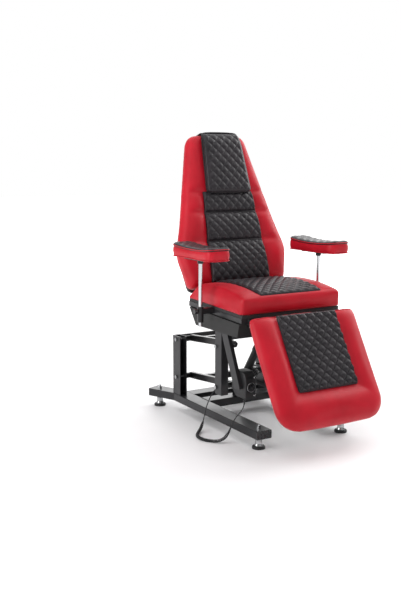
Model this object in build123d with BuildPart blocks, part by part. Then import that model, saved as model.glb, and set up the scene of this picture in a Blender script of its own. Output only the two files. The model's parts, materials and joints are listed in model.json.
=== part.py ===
# A tattoo chair: a flat steel base, a parallelogram lift, a seat with a reclining
# back and a leg rest that swings up, and two arm pads on sliding rods.
# Millimetres. The chair faces -Y, its right and left are +X and -X, the floor is z = 0,
# and the origin lies on the floor midway between the toe and the rear feet.
import os
from math import sin, cos, tan, radians, degrees, hypot, atan2, pi, sqrt

from build123d import *

os.makedirs("parts", exist_ok=True)

# Clearances and stock shared by the whole chair
running_gap = 0.05        # radial, a pin in its own bush
side_gap = 0.3            # between faces that slide or only rest near each other
overrun = 5.0             # how far a cut runs past the face that it opens
sheet = 3.0               # folded sheet steel
tube_wall = 2.5
weld_edge = 3.0           # rounding of tube corners

# Base, measured from the front end of its beams
base_front = -364.0
beam_width = 80.0
beam_height = 40.0
beam_underside = 55.0
beam_spacing = 484.0      # between the centre lines of the side beams
straight_length = 785.0   # front end to the bend, on the centre line
splay_angle = 23.5
splay_length = 176.0
rear_cross_back = 782.0
mid_cross_back = 629.0
cap_thickness = 3.0

foot_radius = 31.0
foot_height = 13.0
cup_radius = 15.5
cup_height = 14.0
cup_taper = 8.0           # degrees
stud_radius = 6.0
stud_top = 114.0
nut_across = 19.0
nut_height = 10.0
foot_inset = 42.0         # from a beam's end to the stud

# Rear posts, folded channels that open to the front
post_height = 313.0
post_depth = 74.0
post_width = 40.0
post_wall = 4.0
post_brace_depth = 16.0
post_brace_height = 40.0

# Parallelogram lift
pivot_back = 745.0        # rear pivots, from the base's front
upper_pivot_height = 390.0
pivot_spacing = 200.0
arm_length = 409.0
arm_rise_angle = 5.3
arm_height = 32.0
arm_thickness = 20.0
arm_outside = 200.0       # half the distance over the two arms
boss_radius = 14.0
bolt_radius = 6.0
bolt_head_radius = 10.0
bolt_head_height = 7.0
arm_cross_share = 0.30    # where the cross tube sits, from the rear pivot
arm_cross_width = 40.0
open_pivot_gap = 0.5

# Moving posts that carry the seat
mover_outside = 290.0
mover_width = 41.0
mover_depth = 59.0
mover_drop = 33.0         # below the lower front pivot
mover_pivot_inset = 46.0  # from the front face to the pivots

# Seat: the line of the cushion's underside
seat_front = 124.0
seat_front_height = 607.0
seat_tilt = 2.4
seat_depth = 490.0
seat_half_width = 286.0
board_thickness = 15.0
board_inset = 5.0
rail_height = 25.0
rail_width = 40.0
rail_outside = 284.0
seat_nose_rise = 66.0
seat_shoulder = 24.0
seat_front_rise = 92.0
seat_crown_along = 215.0
seat_crown_rise = 108.0
seat_rear_along = 418.0
seat_rear_rise = 84.0
seat_heel_rise = 8.0
seat_edge_round = 24.0
seat_pull = 9.0           # how far the cover draws in at the foot of its sides
panel_half_width = 176.0
panel_sink = 12.0
panel_swell = 4.0
cushion_gap = 0.4

# Trough of folded sheet under the seat
trough_depth = 104.0      # from the seat's underside to the trough's, at the front
trough_front = 150.0
trough_front_top = 134.0
trough_rear = 527.0
trough_rear_top = 590.0
window_half_width = 46.0
window_height = 36.0

# Lift actuator
lift_ear_height = 25.0
lift_pin_back = 8.0       # upper pin, behind the front pivots
lift_pin_drop = 33.0
lift_pin_radius = 7.0
ear_radius = 17.0
ear_thickness = 6.0
ear_room = 3.0            # between the rod's end and the ears of its bracket
ear_inside = 18.0
eye_thickness = 16.0
gearbox_start = 26.0
gearbox_width = 84.0
gearbox_depth = 104.0
gearbox_shift = 26.0
gearbox_length = 46.0
gearbox_corner = 8.0
motor_shift = 44.0
motor_radius = 29.0
motor_length = 112.0
lift_tube_radius = 20.0
lift_tube_end = 312.0
lift_collar = 20.0
lift_rod_radius = 13.0
lift_rod_start = 105.0
lift_slot_reach = 5.4     # travel left free along the rod at its upper pin
lift_slot_side = 2.4      # and across it

# Back and leg actuators
motor_case_width = 62.0
motor_case_length = 92.0
motor_case_height = 36.0
actuator_tube_radius = 14.0
actuator_tube_length = 100.0
actuator_rod_radius = 8.0
back_motor_front = 368.0
back_rod_start = 530.0
back_lever = 54.0
leg_motor_rear = 352.0
leg_rod_start = 235.0
leg_lever = 40.0
lever_room = 6.0          # between the rear cross rail and the swinging levers
lever_pin_radius = 5.0
lever_eye_radius = 10.0
slot_side_gap = 1.5
eye_wall = 7.0

# Back rest, in its own plane: up the back, and out of it towards the sitter
back_hinge_back = 632.0
back_hinge_drop = 7.0      # below the seat's underside at its front
back_lean = 17.6
back_recline = 72.0
back_board_rear = -10.0
back_board_thickness = 18.0
back_thickness = 97.0
back_low = 47.0
back_slant = 22.0         # how much higher the front of the lower end is than its rear
back_length = 860.0
back_widest = 240.0
back_half_width = 316.0
back_foot_half_width = 288.0
back_top_half_width = 166.0
back_foot_corner = 30.0
back_waist_round = 180.0
back_corner = 52.0
back_board_inset = 22.0
roll_bounds = (76.0, 290.0, 440.0, 548.0)
roll_half_widths = (176.0, 167.0, 157.0, 149.0)
roll_sink = 13.0
roll_swells = (29.0, 26.0, 22.0)
roll_gap = 1.0
pillow_low = 538.0
pillow_top = 868.0
pillow_low_half_width = 130.0
pillow_top_half_width = 108.0
pillow_thickness = 42.0
pillow_corner = 24.0

# Leg rest, in its own plane: down the leg, and out of it towards the sitter
leg_hinge_back = 108.0
leg_hinge_drop = 44.0      # below the seat's underside at its front
leg_drop = 60.0
leg_swing = 60.0
leg_board_rear = 13.0
leg_board_thickness = 14.0
leg_thickness = 84.0
leg_above = 10.0
leg_length = 522.0
leg_half_width = 288.0
leg_top_corner = 40.0
leg_corner = 92.0
leg_board_inset = 24.0
leg_panel_length = 371.0
leg_panel_half_width = 167.0
leg_panel_sink = 12.0
leg_panel_swell = 5.0
leg_panel_corner = 14.0

# How a stuffed cover draws in: shares of its thickness, and insets in millimetres
swell_shares = (0.0, 0.22, 0.62, 0.86, 1.0)
cushion_insets = (12.0, 2.0, 0.0, 9.0, 34.0)
pillow_insets = (8.0, 1.0, 0.0, 5.0, 20.0)
pad_insets = (5.0, 0.0, 0.0, 3.0, 14.0)

# Diamond quilting: the stitched lines cross both ways and sink into the cover
quilt_width = 48.0
quilt_height = 53.0
quilt_sink = 2.5
quilt_groove = 3.0

# Hinges of the back and the leg rest
hinge_pin_radius = 6.0
hinge_tube_radius = 13.0
leg_tube_radius = 11.0
hinge_lug = 8.0
hinge_pin_reach = 26.0
rib_side = 150.0
rib_thickness = 8.0
rib_height = 24.0
rib_tip = 12.0
rib_start = 22.0
rib_root = 42.0
back_rib_length = 520.0
leg_rib_length = 400.0

# Arm rests
arm_rod_side = 352.0
arm_rod_back = 382.0
arm_rod_radius = 9.0
arm_rod_below = 20.0
rod_bevel = 1.0
socket_radius = 15.0
socket_length = 75.0
socket_rise = 13.0         # its top, above the seat's underside at its front
socket_arm_height = 28.0
socket_arm_depth = 30.0
pad_rise = 243.0           # its underside, above the seat's underside at its front
pad_thickness = 62.0
pad_front = 186.0
pad_rear = 188.0
pad_half_width = 65.0
pad_waist = 9.0           # how far the outer side draws in beside the rod
pad_corner = 40.0
pad_waist_round = 300.0
pad_plate_thickness = 5.0
pad_plate_width = 76.0
pad_plate_length = 190.0
pad_boss_radius = 14.0
pad_boss_height = 18.0
knob_radius = 13.0
knob_length = 16.0
knob_reach = 20.0
knob_stem_radius = 4.0
knob_lobes = 6
knob_lobe_radius = 4.0

# Control box on a flat bar that hangs from the trough
hanger_top = 29.7         # centre of the bar's upper end, ahead of the moving posts
hanger_foot = 139.7
hanger_foot_height = 262.0
hanger_width = 52.0
hanger_thickness = 20.0
hanger_outside = 292.0
box_width = 60.0
box_depth = 120.0
box_height = 128.0
box_middle = 123.7        # ahead of the moving posts
box_underside = 215.0
box_corner = 10.0
gland_radius = 7.0
gland_length = 10.0

# Handset cord: thin leads at both ends and a curly middle that lies on the floor
lead_radius = 2.5
curl_radius = 8.0
gland_height = 205.0
gland_middle = 150.7      # ahead of the moving posts
bend_share = 0.45
curl_wire = 2.6
curls = 30
steps_per_curl = 4
curl_start_turns = 2      # over which the curls widen from the straight end
tangent_step = 0.001      # turns, for a direction along the curls
lead_stub = 2 * curl_wire
carry_steps = 600         # places along the route where the curls' sideways is carried on
gap_step = 2.0            # between the points on which the cord's gap to itself is measured
front_lead_points = [(-257, -223, 205), (-257, -223, 177), (-274, -218, 148),
                     (-298, -211, 126), (-310, -207, 99)]
curl_points = [(-310, -207, 99), (-317.2, -204.6, 82.8), (-327, -199, 55), (-343, -188, 24),
               (-368, -168, 9.5), (-396, -138, 8.5), (-414, -102, 8.5), (-414, -62, 8.5),
               (-396, -25, 8.5), (-368, 5, 9.5), (-343, 26, 20), (-328, 35, 42),
               (-321, 38, 60)]
rear_lead_points = [(-321, 38, 60), (-315.4, 40.4, 74.4), (-307, 40, 110), (-295, 36, 145),
                    (-281, 29, 178), (-269.5, 18, 205), (-269.5, -3.25, 205)]

trough_floor_height = seat_front_height - trough_depth
back_hinge_height = seat_front_height - back_hinge_drop
leg_hinge_height = seat_front_height - leg_hinge_drop
socket_top = seat_front_height + socket_rise
pad_base = seat_front_height + pad_rise
base_middle = beam_spacing / 2
beam_outside = base_middle + beam_width / 2
beam_top = beam_underside + beam_height


def depth(from_front):
    """Y of a place given by its distance from the front end of the base."""
    return base_front + from_front


def seat_point(along, above):
    """(y, z) of a place on the seat: along its underside from the front, and above it."""
    tilt = radians(seat_tilt)
    return (depth(seat_front) + along * cos(tilt) - above * sin(tilt),
            seat_front_height + along * sin(tilt) + above * cos(tilt))


def back_point(up, out):
    """(y, z) of a place on the back rest, from its hinge."""
    lean = radians(back_lean)
    return (depth(back_hinge_back) + up * sin(lean) - out * cos(lean),
            back_hinge_height + up * cos(lean) + out * sin(lean))


def leg_point(down, out):
    """(y, z) of a place on the leg rest, from its hinge."""
    drop = radians(leg_drop)
    return (depth(leg_hinge_back) - down * cos(drop) - out * sin(drop),
            leg_hinge_height - down * sin(drop) + out * cos(drop))


def rod_axis_height(hinge, lever, turn):
    """Height of a level rod, midway in the rise and fall of its lever's pin."""
    return hinge[1] - lever * (1 + cos(radians(turn / 2))) / 2


def keep(built, name):
    """Label a finished sub-part and write it under its name."""
    built.part.label = name
    export_step(built.part, f"parts/{name}.step")


def side_plane(x):
    """A plane across the chair, drawn on in (y, z)."""
    return Plane.YZ.offset(x)


sides = (("left", -1), ("right", 1))

# Base: two box beams with splayed tails, and two cross beams between them
splay = radians(splay_angle)
tail_end = (base_middle + splay_length * sin(splay),
            depth(straight_length) + splay_length * cos(splay))
foot_places = []
for name, side in sides:
    foot_places.append((side * base_middle, depth(foot_inset)))
    foot_places.append((side * (tail_end[0] - foot_inset * sin(splay)),
                        tail_end[1] - foot_inset * cos(splay)))


def beam_outline(side, half_width, longer):
    """Corners of a side beam seen from above, longer at both ends by a given amount."""
    miter = half_width * tan(splay / 2)
    end_x = tail_end[0] + longer * sin(splay)
    end_y = tail_end[1] + longer * cos(splay)
    across = (half_width * cos(splay), half_width * sin(splay))
    corners = [(base_middle + half_width, depth(-longer)),
               (base_middle + half_width, depth(straight_length) - miter),
               (end_x + across[0], end_y - across[1]),
               (end_x - across[0], end_y + across[1]),
               (base_middle - half_width, depth(straight_length) + miter),
               (base_middle - half_width, depth(-longer))]
    return [(side * x, y) for x, y in corners]


for name, side in sides:
    with BuildPart() as beam:
        with BuildSketch(Plane.XY.offset(beam_underside)):
            with BuildLine():
                Polyline(*beam_outline(side, beam_width / 2, 0), close=True)
            make_face()
        extrude(amount=beam_height)
        fillet(beam.edges().filter_by(Plane.XY), weld_edge)
        with BuildSketch(Plane.XY.offset(beam_underside + tube_wall)):
            with BuildLine():
                Polyline(*beam_outline(side, beam_width / 2 - tube_wall, overrun), close=True)
            make_face()
        extrude(amount=beam_height - 2 * tube_wall, mode=Mode.SUBTRACT)
        with BuildSketch(Plane.XY.offset(beam_underside)):
            with Locations(*[place for place in foot_places if place[0] * side > 0]):
                Circle(stud_radius + running_gap)
        extrude(amount=beam_height, mode=Mode.SUBTRACT)
    keep(beam, f"base_beam_{name}")

with BuildPart() as caps:
    for name, side in sides:
        front = Plane(origin=(side * base_middle, depth(0), beam_underside + beam_height / 2),
                      x_dir=(1, 0, 0), z_dir=(0, -1, 0))
        rear = Plane(origin=(side * tail_end[0], tail_end[1], beam_underside + beam_height / 2),
                     x_dir=(cos(splay), -side * sin(splay), 0),
                     z_dir=(side * sin(splay), cos(splay), 0))
        for end in (front, rear):
            with BuildSketch(end):
                RectangleRounded(beam_width, beam_height, weld_edge)
            extrude(amount=cap_thickness)
keep(caps, "beam_end_caps")

for name, back in (("mid", mid_cross_back), ("rear", rear_cross_back)):
    with BuildPart() as cross:
        with BuildSketch(side_plane(beam_width / 2 - base_middle)):
            with Locations((depth(back - beam_width / 2), beam_underside + beam_height / 2)):
                RectangleRounded(beam_width, beam_height, weld_edge)
                Rectangle(beam_width - 2 * tube_wall, beam_height - 2 * tube_wall,
                          mode=Mode.SUBTRACT)
        extrude(amount=beam_spacing - beam_width)
    keep(cross, f"{name}_cross_beam")

# Levelling feet: rubber pads, chrome cups with studs, and lock nuts on the beams
with BuildPart() as pads:
    with Locations(*foot_places):
        Cylinder(foot_radius, foot_height, align=(Align.CENTER, Align.CENTER, Align.MIN))
    rims = pads.edges().filter_by(GeomType.CIRCLE).group_by(Axis.Z)[-1]
    fillet(rims, foot_height / 2)
keep(pads, "foot_pads")

with BuildPart() as studs:
    with BuildSketch(Plane.XY.offset(foot_height)):
        with Locations(*foot_places):
            Circle(cup_radius)
    extrude(amount=cup_height, taper=cup_taper)
    with BuildSketch(Plane.XY.offset(foot_height)):
        with Locations(*foot_places):
            Circle(stud_radius)
    extrude(amount=stud_top - foot_height)
    with BuildSketch(Plane.XY.offset(beam_underside - nut_height)):
        with Locations(*foot_places):
            RegularPolygon(nut_across / 2, 6, major_radius=False)
    extrude(amount=nut_height)
    with BuildSketch(Plane.XY.offset(beam_top)):
        with Locations(*foot_places):
            RegularPolygon(nut_across / 2, 6, major_radius=False)
    extrude(amount=nut_height)
keep(studs, "foot_studs")

# Rear posts and the brace between them
post_back = depth(rear_cross_back)
post_inside = beam_outside - post_width
rear_pivot_y = depth(pivot_back)
lower_pivot_height = upper_pivot_height - pivot_spacing
pivot_heights = (lower_pivot_height, upper_pivot_height)
for name, side in sides:
    with BuildPart() as post:
        with BuildSketch(Plane.XY.offset(beam_top)):
            with Locations((side * (beam_outside - post_width / 2), post_back - post_depth / 2)):
                Rectangle(post_width, post_depth)
            with Locations((side * (beam_outside - post_width / 2),
                            post_back - post_wall - post_depth / 2)):
                Rectangle(post_width - 2 * post_wall, post_depth, mode=Mode.SUBTRACT)
        extrude(amount=post_height)
        with BuildSketch(side_plane(side * (post_inside - overrun))):
            with Locations(*[(rear_pivot_y, height) for height in pivot_heights]):
                Circle(bolt_radius)
        extrude(amount=side * (post_width + 2 * overrun), mode=Mode.SUBTRACT)
    keep(post, f"rear_post_{name}")

post_top = beam_top + post_height
with BuildPart() as brace:
    with BuildSketch(Plane.XZ.offset(-post_back)):
        with Locations((0, post_top - post_brace_height / 2)):
            Rectangle(2 * post_inside, post_brace_height)
    extrude(amount=post_brace_depth)
    fillet(brace.edges().filter_by(Axis.X), weld_edge)
keep(brace, "rear_post_brace")

# Lift arms: a bar each side with a boss at each pivot, and a cross tube between them
rise = radians(arm_rise_angle)
front_pivot_y = rear_pivot_y - arm_length * cos(rise)
pivot_rise = arm_length * sin(rise)
arm_inside = arm_outside - arm_thickness
mover_inside = mover_outside - mover_width
cross_place = (rear_pivot_y - arm_cross_share * arm_length * cos(rise),
               arm_cross_share * arm_length * sin(rise))
for level, height in (("lower", lower_pivot_height), ("upper", upper_pivot_height)):
    with BuildPart() as bars:
        for name, side in sides:
            with BuildSketch(side_plane(side * arm_inside)):
                with Locations(((rear_pivot_y + front_pivot_y) / 2, height + pivot_rise / 2)):
                    SlotCenterToCenter(arm_length, arm_height, rotation=-arm_rise_angle)
            extrude(amount=side * arm_thickness)
            with BuildSketch(side_plane(side * arm_outside)):
                with Locations((rear_pivot_y, height)):
                    Circle(boss_radius)
            extrude(amount=side * (post_inside - side_gap - arm_outside))
            with BuildSketch(side_plane(side * arm_outside)):
                with Locations((front_pivot_y, height + pivot_rise)):
                    Circle(boss_radius)
            extrude(amount=side * (mover_inside - side_gap - arm_outside))
            with BuildSketch(side_plane(side * (arm_inside - overrun))):
                with Locations((rear_pivot_y, height)):
                    Circle(bolt_radius + running_gap)
            extrude(amount=side * (mover_outside - arm_inside), mode=Mode.SUBTRACT)
            loose = open_pivot_gap if level == "lower" else running_gap
            with BuildSketch(side_plane(side * (arm_inside - overrun))):
                with Locations((front_pivot_y, height + pivot_rise)):
                    Circle(bolt_radius + loose)
            extrude(amount=side * (mover_outside - arm_inside), mode=Mode.SUBTRACT)
    keep(bars, f"{level}_arm_bars")
    with BuildPart() as tube:
        with BuildSketch(side_plane(-arm_inside)):
            with Locations((cross_place[0], height + cross_place[1])):
                RectangleRounded(arm_cross_width, arm_height, weld_edge,
                                 rotation=-arm_rise_angle)
                Rectangle(arm_cross_width - 2 * tube_wall, arm_height - 2 * tube_wall,
                          rotation=-arm_rise_angle, mode=Mode.SUBTRACT)
        extrude(amount=2 * arm_inside)
    keep(tube, f"{level}_arm_cross_tube")


# Pivot bolts along X: head outside, nut inside the arm
front_heights = [height + pivot_rise for height in pivot_heights]
for row, pivot_y, heights, outer in (("rear", rear_pivot_y, pivot_heights, beam_outside),
                                     ("front", front_pivot_y, front_heights, mover_outside)):
    bolt_places = [(pivot_y, height) for height in heights]
    bolt_start = arm_inside - side_gap
    with BuildPart() as bolts:
        for name, side in sides:
            with BuildSketch(side_plane(side * bolt_start)):
                with Locations(*bolt_places):
                    Circle(bolt_radius)
            extrude(amount=side * (outer - bolt_start))
            with BuildSketch(side_plane(side * outer)):
                with Locations(*bolt_places):
                    RegularPolygon(bolt_head_radius, 6)
            extrude(amount=side * bolt_head_height)
            with BuildSketch(side_plane(side * bolt_start)):
                with Locations(*bolt_places):
                    RegularPolygon(bolt_head_radius, 6)
            extrude(amount=-side * bolt_head_height)
    keep(bolts, f"{row}_pivot_bolts")


# Seat frame and trough
def under_seat(y, above):
    """Height of a line parallel to the seat's underside, above it, at a given y."""
    tilt = radians(seat_tilt)
    return seat_front_height + (y - depth(seat_front)) * tan(tilt) + above / cos(tilt)


rail_underside = -board_thickness - rail_height
mover_front = front_pivot_y - mover_pivot_inset
mover_back = mover_front + mover_depth
mover_bottom = front_heights[0] - mover_drop
for name, side in sides:
    with BuildPart() as mover:
        with BuildSketch(side_plane(side * mover_inside)):
            with BuildLine():
                Polyline((mover_front, mover_bottom), (mover_back, mover_bottom),
                         (mover_back, under_seat(mover_back, rail_underside)),
                         (mover_front, under_seat(mover_front, rail_underside)), close=True)
            make_face()
        extrude(amount=side * mover_width)
        fillet(mover.edges().filter_by(Axis.Z), weld_edge)
        with BuildSketch(side_plane(side * (mover_inside - overrun))):
            with Locations(*[(front_pivot_y, height) for height in front_heights]):
                Circle(bolt_radius)
        extrude(amount=side * (mover_width + 2 * overrun), mode=Mode.SUBTRACT)
    keep(mover, f"seat_post_{name}")

board_length = seat_depth - board_inset
leg_lug_radius = leg_tube_radius + side_gap
rail_inside = rail_outside - rail_width
back_hinge = back_point(0, 0)
leg_hinge = leg_point(0, 0)
with BuildPart() as side_rails:
    for name, side in sides:
        with BuildSketch(side_plane(side * rail_inside)):
            with BuildLine():
                Polyline(seat_point(board_inset, rail_underside),
                         seat_point(board_length, rail_underside),
                         seat_point(board_length, -board_thickness),
                         seat_point(board_inset, -board_thickness), close=True)
            make_face()
        extrude(amount=side * rail_width)
        for along, hinge, radius in ((board_length, back_hinge, hinge_tube_radius),
                                     (board_inset, leg_hinge, leg_lug_radius)):
            inward = -sheet / 2 if along > board_inset else sheet / 2
            with BuildSketch(side_plane(side * rail_inside)):
                with Locations(hinge):
                    Circle(radius)
                with BuildLine():
                    Polyline(seat_point(along, rail_underside),
                             seat_point(along, -board_thickness),
                             seat_point(along + inward, -board_thickness),
                             seat_point(along + inward, rail_underside), close=True)
                make_face()
                make_hull()
            extrude(amount=side * hinge_lug)
            with BuildSketch(side_plane(side * (rail_inside - overrun))):
                with Locations(hinge):
                    Circle(hinge_pin_radius)
            extrude(amount=side * (hinge_lug + 2 * overrun), mode=Mode.SUBTRACT)
keep(side_rails, "seat_side_rails")

with BuildPart() as cross_rails:
    for start in (board_inset, board_length - rail_width - lever_room):
        with BuildSketch(side_plane(-rail_inside)):
            with BuildLine():
                Polyline(seat_point(start, rail_underside),
                         seat_point(start + rail_width, rail_underside),
                         seat_point(start + rail_width, -board_thickness),
                         seat_point(start, -board_thickness), close=True)
            make_face()
        extrude(amount=2 * rail_inside)
keep(cross_rails, "seat_cross_rails")

with BuildPart() as seat_board:
    with BuildSketch(side_plane(0)):
        with BuildLine():
            Polyline(seat_point(board_inset, -board_thickness),
                     seat_point(board_length, -board_thickness),
                     seat_point(board_length, 0), seat_point(board_inset, 0), close=True)
        make_face()
    extrude(amount=seat_half_width - board_inset, both=True)
keep(seat_board, "seat_board")

trough_outside = mover_outside + sheet
with BuildPart() as trough:
    with BuildSketch(side_plane(0)):
        with BuildLine():
            front_top = depth(trough_front_top)
            rear_top = depth(trough_rear_top)
            Polyline((depth(trough_front), trough_floor_height),
                     (depth(trough_rear), trough_floor_height),
                     (rear_top, under_seat(rear_top, rail_underside)),
                     (front_top, under_seat(front_top, rail_underside)), close=True)
        make_face()
    extrude(amount=trough_outside, both=True)
    offset(amount=-sheet, openings=trough.faces().sort_by(Axis.Z)[-1])
    for name, side in sides:
        with BuildSketch(Plane.XY.offset(trough_floor_height)):
            with Locations((side * (mover_inside + mover_width / 2),
                            mover_front + mover_depth / 2)):
                Rectangle(mover_width + 2 * side_gap, mover_depth + 2 * side_gap)
        extrude(amount=sheet, mode=Mode.SUBTRACT)
    with BuildSketch(side_plane(0)):
        with Locations((depth(trough_front_top), rod_axis_height(leg_hinge, leg_lever, leg_swing)),
                       (depth(trough_rear_top),
                        rod_axis_height(back_hinge, back_lever, back_recline))):
            Rectangle(2 * window_half_width, window_height)
    extrude(amount=window_half_width, both=True, mode=Mode.SUBTRACT)
keep(trough, "seat_trough")

# Lift actuator, from the middle cross beam up to a bracket under the trough
lift_low = (depth(mid_cross_back - beam_width / 2), beam_top + lift_ear_height)
lift_high = (front_pivot_y + lift_pin_back, trough_floor_height - lift_pin_drop)
lift_run = hypot(lift_high[0] - lift_low[0], lift_high[1] - lift_low[1])
lift_plane = Plane(origin=(0, *lift_low), x_dir=(1, 0, 0),
                   z_dir=(0, lift_high[0] - lift_low[0], lift_high[1] - lift_low[1]))
lift_angle = degrees(atan2(lift_high[1] - lift_low[1], lift_high[0] - lift_low[0]))

with BuildPart() as foot_bracket:
    for name, side in sides:
        with BuildSketch(side_plane(side * (ear_inside + side_gap))):
            with Locations(lift_low):
                Circle(ear_radius)
            with Locations((lift_low[0], beam_top)):
                Rectangle(2 * ear_radius, ear_thickness, align=(Align.CENTER, Align.MIN))
            make_hull()
        extrude(amount=side * ear_thickness)
    with BuildSketch(side_plane(-ear_inside - ear_thickness - bolt_head_height)):
        with Locations(lift_low):
            Circle(lift_pin_radius)
    extrude(amount=2 * (ear_inside + ear_thickness + bolt_head_height))
keep(foot_bracket, "lift_foot_bracket")

with BuildPart() as top_bracket:
    for name, side in sides:
        with BuildSketch(side_plane(side * (eye_thickness / 2 + side_gap))):
            with Locations(lift_high):
                Circle(ear_radius)
            with Locations((lift_high[0], trough_floor_height)):
                Rectangle(3 * ear_radius, ear_thickness, align=(Align.CENTER, Align.MAX))
            make_hull()
        extrude(amount=side * ear_thickness)
    with BuildSketch(side_plane(-eye_thickness / 2 - ear_thickness - bolt_head_height)):
        with Locations(lift_high):
            Circle(lift_pin_radius)
    extrude(amount=eye_thickness + 2 * (ear_thickness + bolt_head_height))
keep(top_bracket, "lift_top_bracket")

with BuildPart() as lift_motor:
    with BuildSketch(side_plane(-ear_inside)):
        with Locations(lift_low):
            Circle(ear_radius)
        with BuildLine():
            Polyline(*[(point.Y, point.Z) for point in
                       (lift_plane.from_local_coords(Vector(0, across, along))
                        for across, along in ((-ear_radius, 0), (ear_radius, 0),
                                              (ear_radius, gearbox_start),
                                              (-ear_radius, gearbox_start)))], close=True)
        make_face()
    extrude(amount=2 * ear_inside)
    with BuildSketch(lift_plane.offset(gearbox_start)):
        with Locations((0, -gearbox_shift)):
            RectangleRounded(gearbox_width, gearbox_depth, gearbox_corner)
    extrude(amount=gearbox_length)
    fillet(lift_motor.edges().filter_by(GeomType.LINE).filter_by(
        lambda edge: edge.length > gearbox_width / 2).group_by(Axis.Z)[-1], weld_edge)
    with BuildSketch(lift_plane.offset(gearbox_start + gearbox_length)):
        with Locations((0, -motor_shift)):
            Circle(motor_radius)
    extrude(amount=motor_length)
    with BuildSketch(lift_plane.offset(gearbox_start + gearbox_length)):
        Circle(lift_tube_radius)
    extrude(amount=lift_tube_end - gearbox_start - gearbox_length)
    with BuildSketch(lift_plane.offset(lift_tube_end - lift_collar)):
        Circle(lift_tube_radius + sheet)
    extrude(amount=lift_collar)
    with BuildSketch(lift_plane.offset(lift_rod_start - side_gap)):
        Circle(lift_rod_radius + side_gap)
    extrude(amount=lift_tube_end, mode=Mode.SUBTRACT)
    with BuildSketch(side_plane(-ear_inside - overrun)):
        with Locations(lift_low):
            Circle(lift_pin_radius + running_gap)
    extrude(amount=2 * (ear_inside + overrun), mode=Mode.SUBTRACT)
keep(lift_motor, "lift_motor")

with BuildPart() as lift_rod:
    with BuildSketch(lift_plane.offset(lift_rod_start)):
        Circle(lift_rod_radius)
    extrude(amount=lift_run - lift_rod_start - ear_radius - ear_room)
    slot_middle = lift_plane.from_local_coords(Vector(0, lift_slot_side / 2,
                                                      lift_run + lift_slot_reach / 2))
    neck = lift_plane.from_local_coords(Vector(0, 0, lift_run - ear_radius))
    with BuildSketch(side_plane(-eye_thickness / 2)):
        with Locations((slot_middle.Y, slot_middle.Z)):
            SlotOverall(2 * ear_radius + lift_slot_reach + 2 * side_gap, 2 * ear_radius,
                        rotation=lift_angle)
        with Locations((neck.Y, neck.Z)):
            Rectangle(2 * ear_room + ear_thickness, eye_thickness, rotation=lift_angle)
    extrude(amount=eye_thickness)
    with BuildSketch(side_plane(-eye_thickness)):
        with Locations((slot_middle.Y, slot_middle.Z)):
            SlotOverall(2 * (lift_pin_radius + open_pivot_gap) + lift_slot_side + lift_slot_reach,
                        2 * (lift_pin_radius + open_pivot_gap) + lift_slot_side,
                        rotation=lift_angle)
    extrude(amount=2 * eye_thickness, mode=Mode.SUBTRACT)
keep(lift_rod, "lift_rod")

# Back and leg actuators: flat motors on the trough's floor whose rods slide level and
# move a lever by a pin in an upright slot
trough_inside = trough_floor_height + sheet
for which, hinge, lever, turn, toward, motor_at, rod_from in (
        ("back", back_hinge, back_lever, back_recline, 1, back_motor_front, back_rod_start),
        ("leg", leg_hinge, leg_lever, leg_swing, -1, leg_motor_rear, leg_rod_start)):
    pin_y = hinge[0] + lever * sin(radians(turn / 2))
    pin_fall = lever * (1 - cos(radians(turn / 2)))
    axis_height = rod_axis_height(hinge, lever, turn)
    motor_y = depth(motor_at)
    tube_y = motor_y + toward * (motor_case_length + actuator_tube_length)
    with BuildPart() as motor:
        with BuildSketch(Plane.XY.offset(trough_inside)):
            with Locations((0, motor_y + toward * motor_case_length / 2)):
                RectangleRounded(motor_case_width, motor_case_length, gearbox_corner)
        extrude(amount=axis_height + motor_case_height / 2 - trough_inside)
        fillet(motor.edges().group_by(Axis.Z)[-1], weld_edge)
        with BuildSketch(Plane.XZ.offset(-motor_y - toward * motor_case_length)):
            with Locations((0, axis_height)):
                Circle(actuator_tube_radius)
        extrude(amount=-toward * actuator_tube_length)
        with BuildSketch(Plane.XZ.offset(-tube_y)):
            with Locations((0, axis_height)):
                Circle(actuator_rod_radius + side_gap)
        extrude(amount=toward * (actuator_tube_length + motor_case_length - overrun),
                mode=Mode.SUBTRACT)
    keep(motor, f"{which}_motor")

    with BuildPart() as rod:
        with BuildSketch(Plane.XZ.offset(-depth(rod_from))):
            with Locations((0, axis_height)):
                Circle(actuator_rod_radius)
        extrude(amount=depth(rod_from) - pin_y + toward * lever_pin_radius)
        with BuildSketch(side_plane(-eye_thickness / 2)):
            with Locations((pin_y, axis_height)):
                Rectangle(2 * (lever_pin_radius + slot_side_gap + eye_wall),
                          2 * (lever_pin_radius + open_pivot_gap + eye_wall) + pin_fall)
        extrude(amount=eye_thickness)
        fillet(rod.edges().filter_by(Axis.X), eye_wall)
        with BuildSketch(side_plane(-eye_thickness)):
            with Locations((pin_y, axis_height)):
                Rectangle(2 * (lever_pin_radius + slot_side_gap),
                          2 * (lever_pin_radius + open_pivot_gap) + pin_fall)
        extrude(amount=2 * eye_thickness, mode=Mode.SUBTRACT)
    keep(rod, f"{which}_rod")

# Hinge pins of the back and the leg rest
with BuildPart() as hinge_pins:
    for name, side in sides:
        with BuildSketch(side_plane(side * (rail_inside - hinge_pin_reach))):
            with Locations(back_hinge, leg_hinge):
                Circle(hinge_pin_radius)
        extrude(amount=side * (hinge_pin_reach + hinge_lug))
        with BuildSketch(side_plane(side * (rail_inside + hinge_lug))):
            with Locations(back_hinge, leg_hinge):
                RegularPolygon(bolt_head_radius, 6)
        extrude(amount=side * bolt_head_height)
keep(hinge_pins, "hinge_pins")

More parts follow.
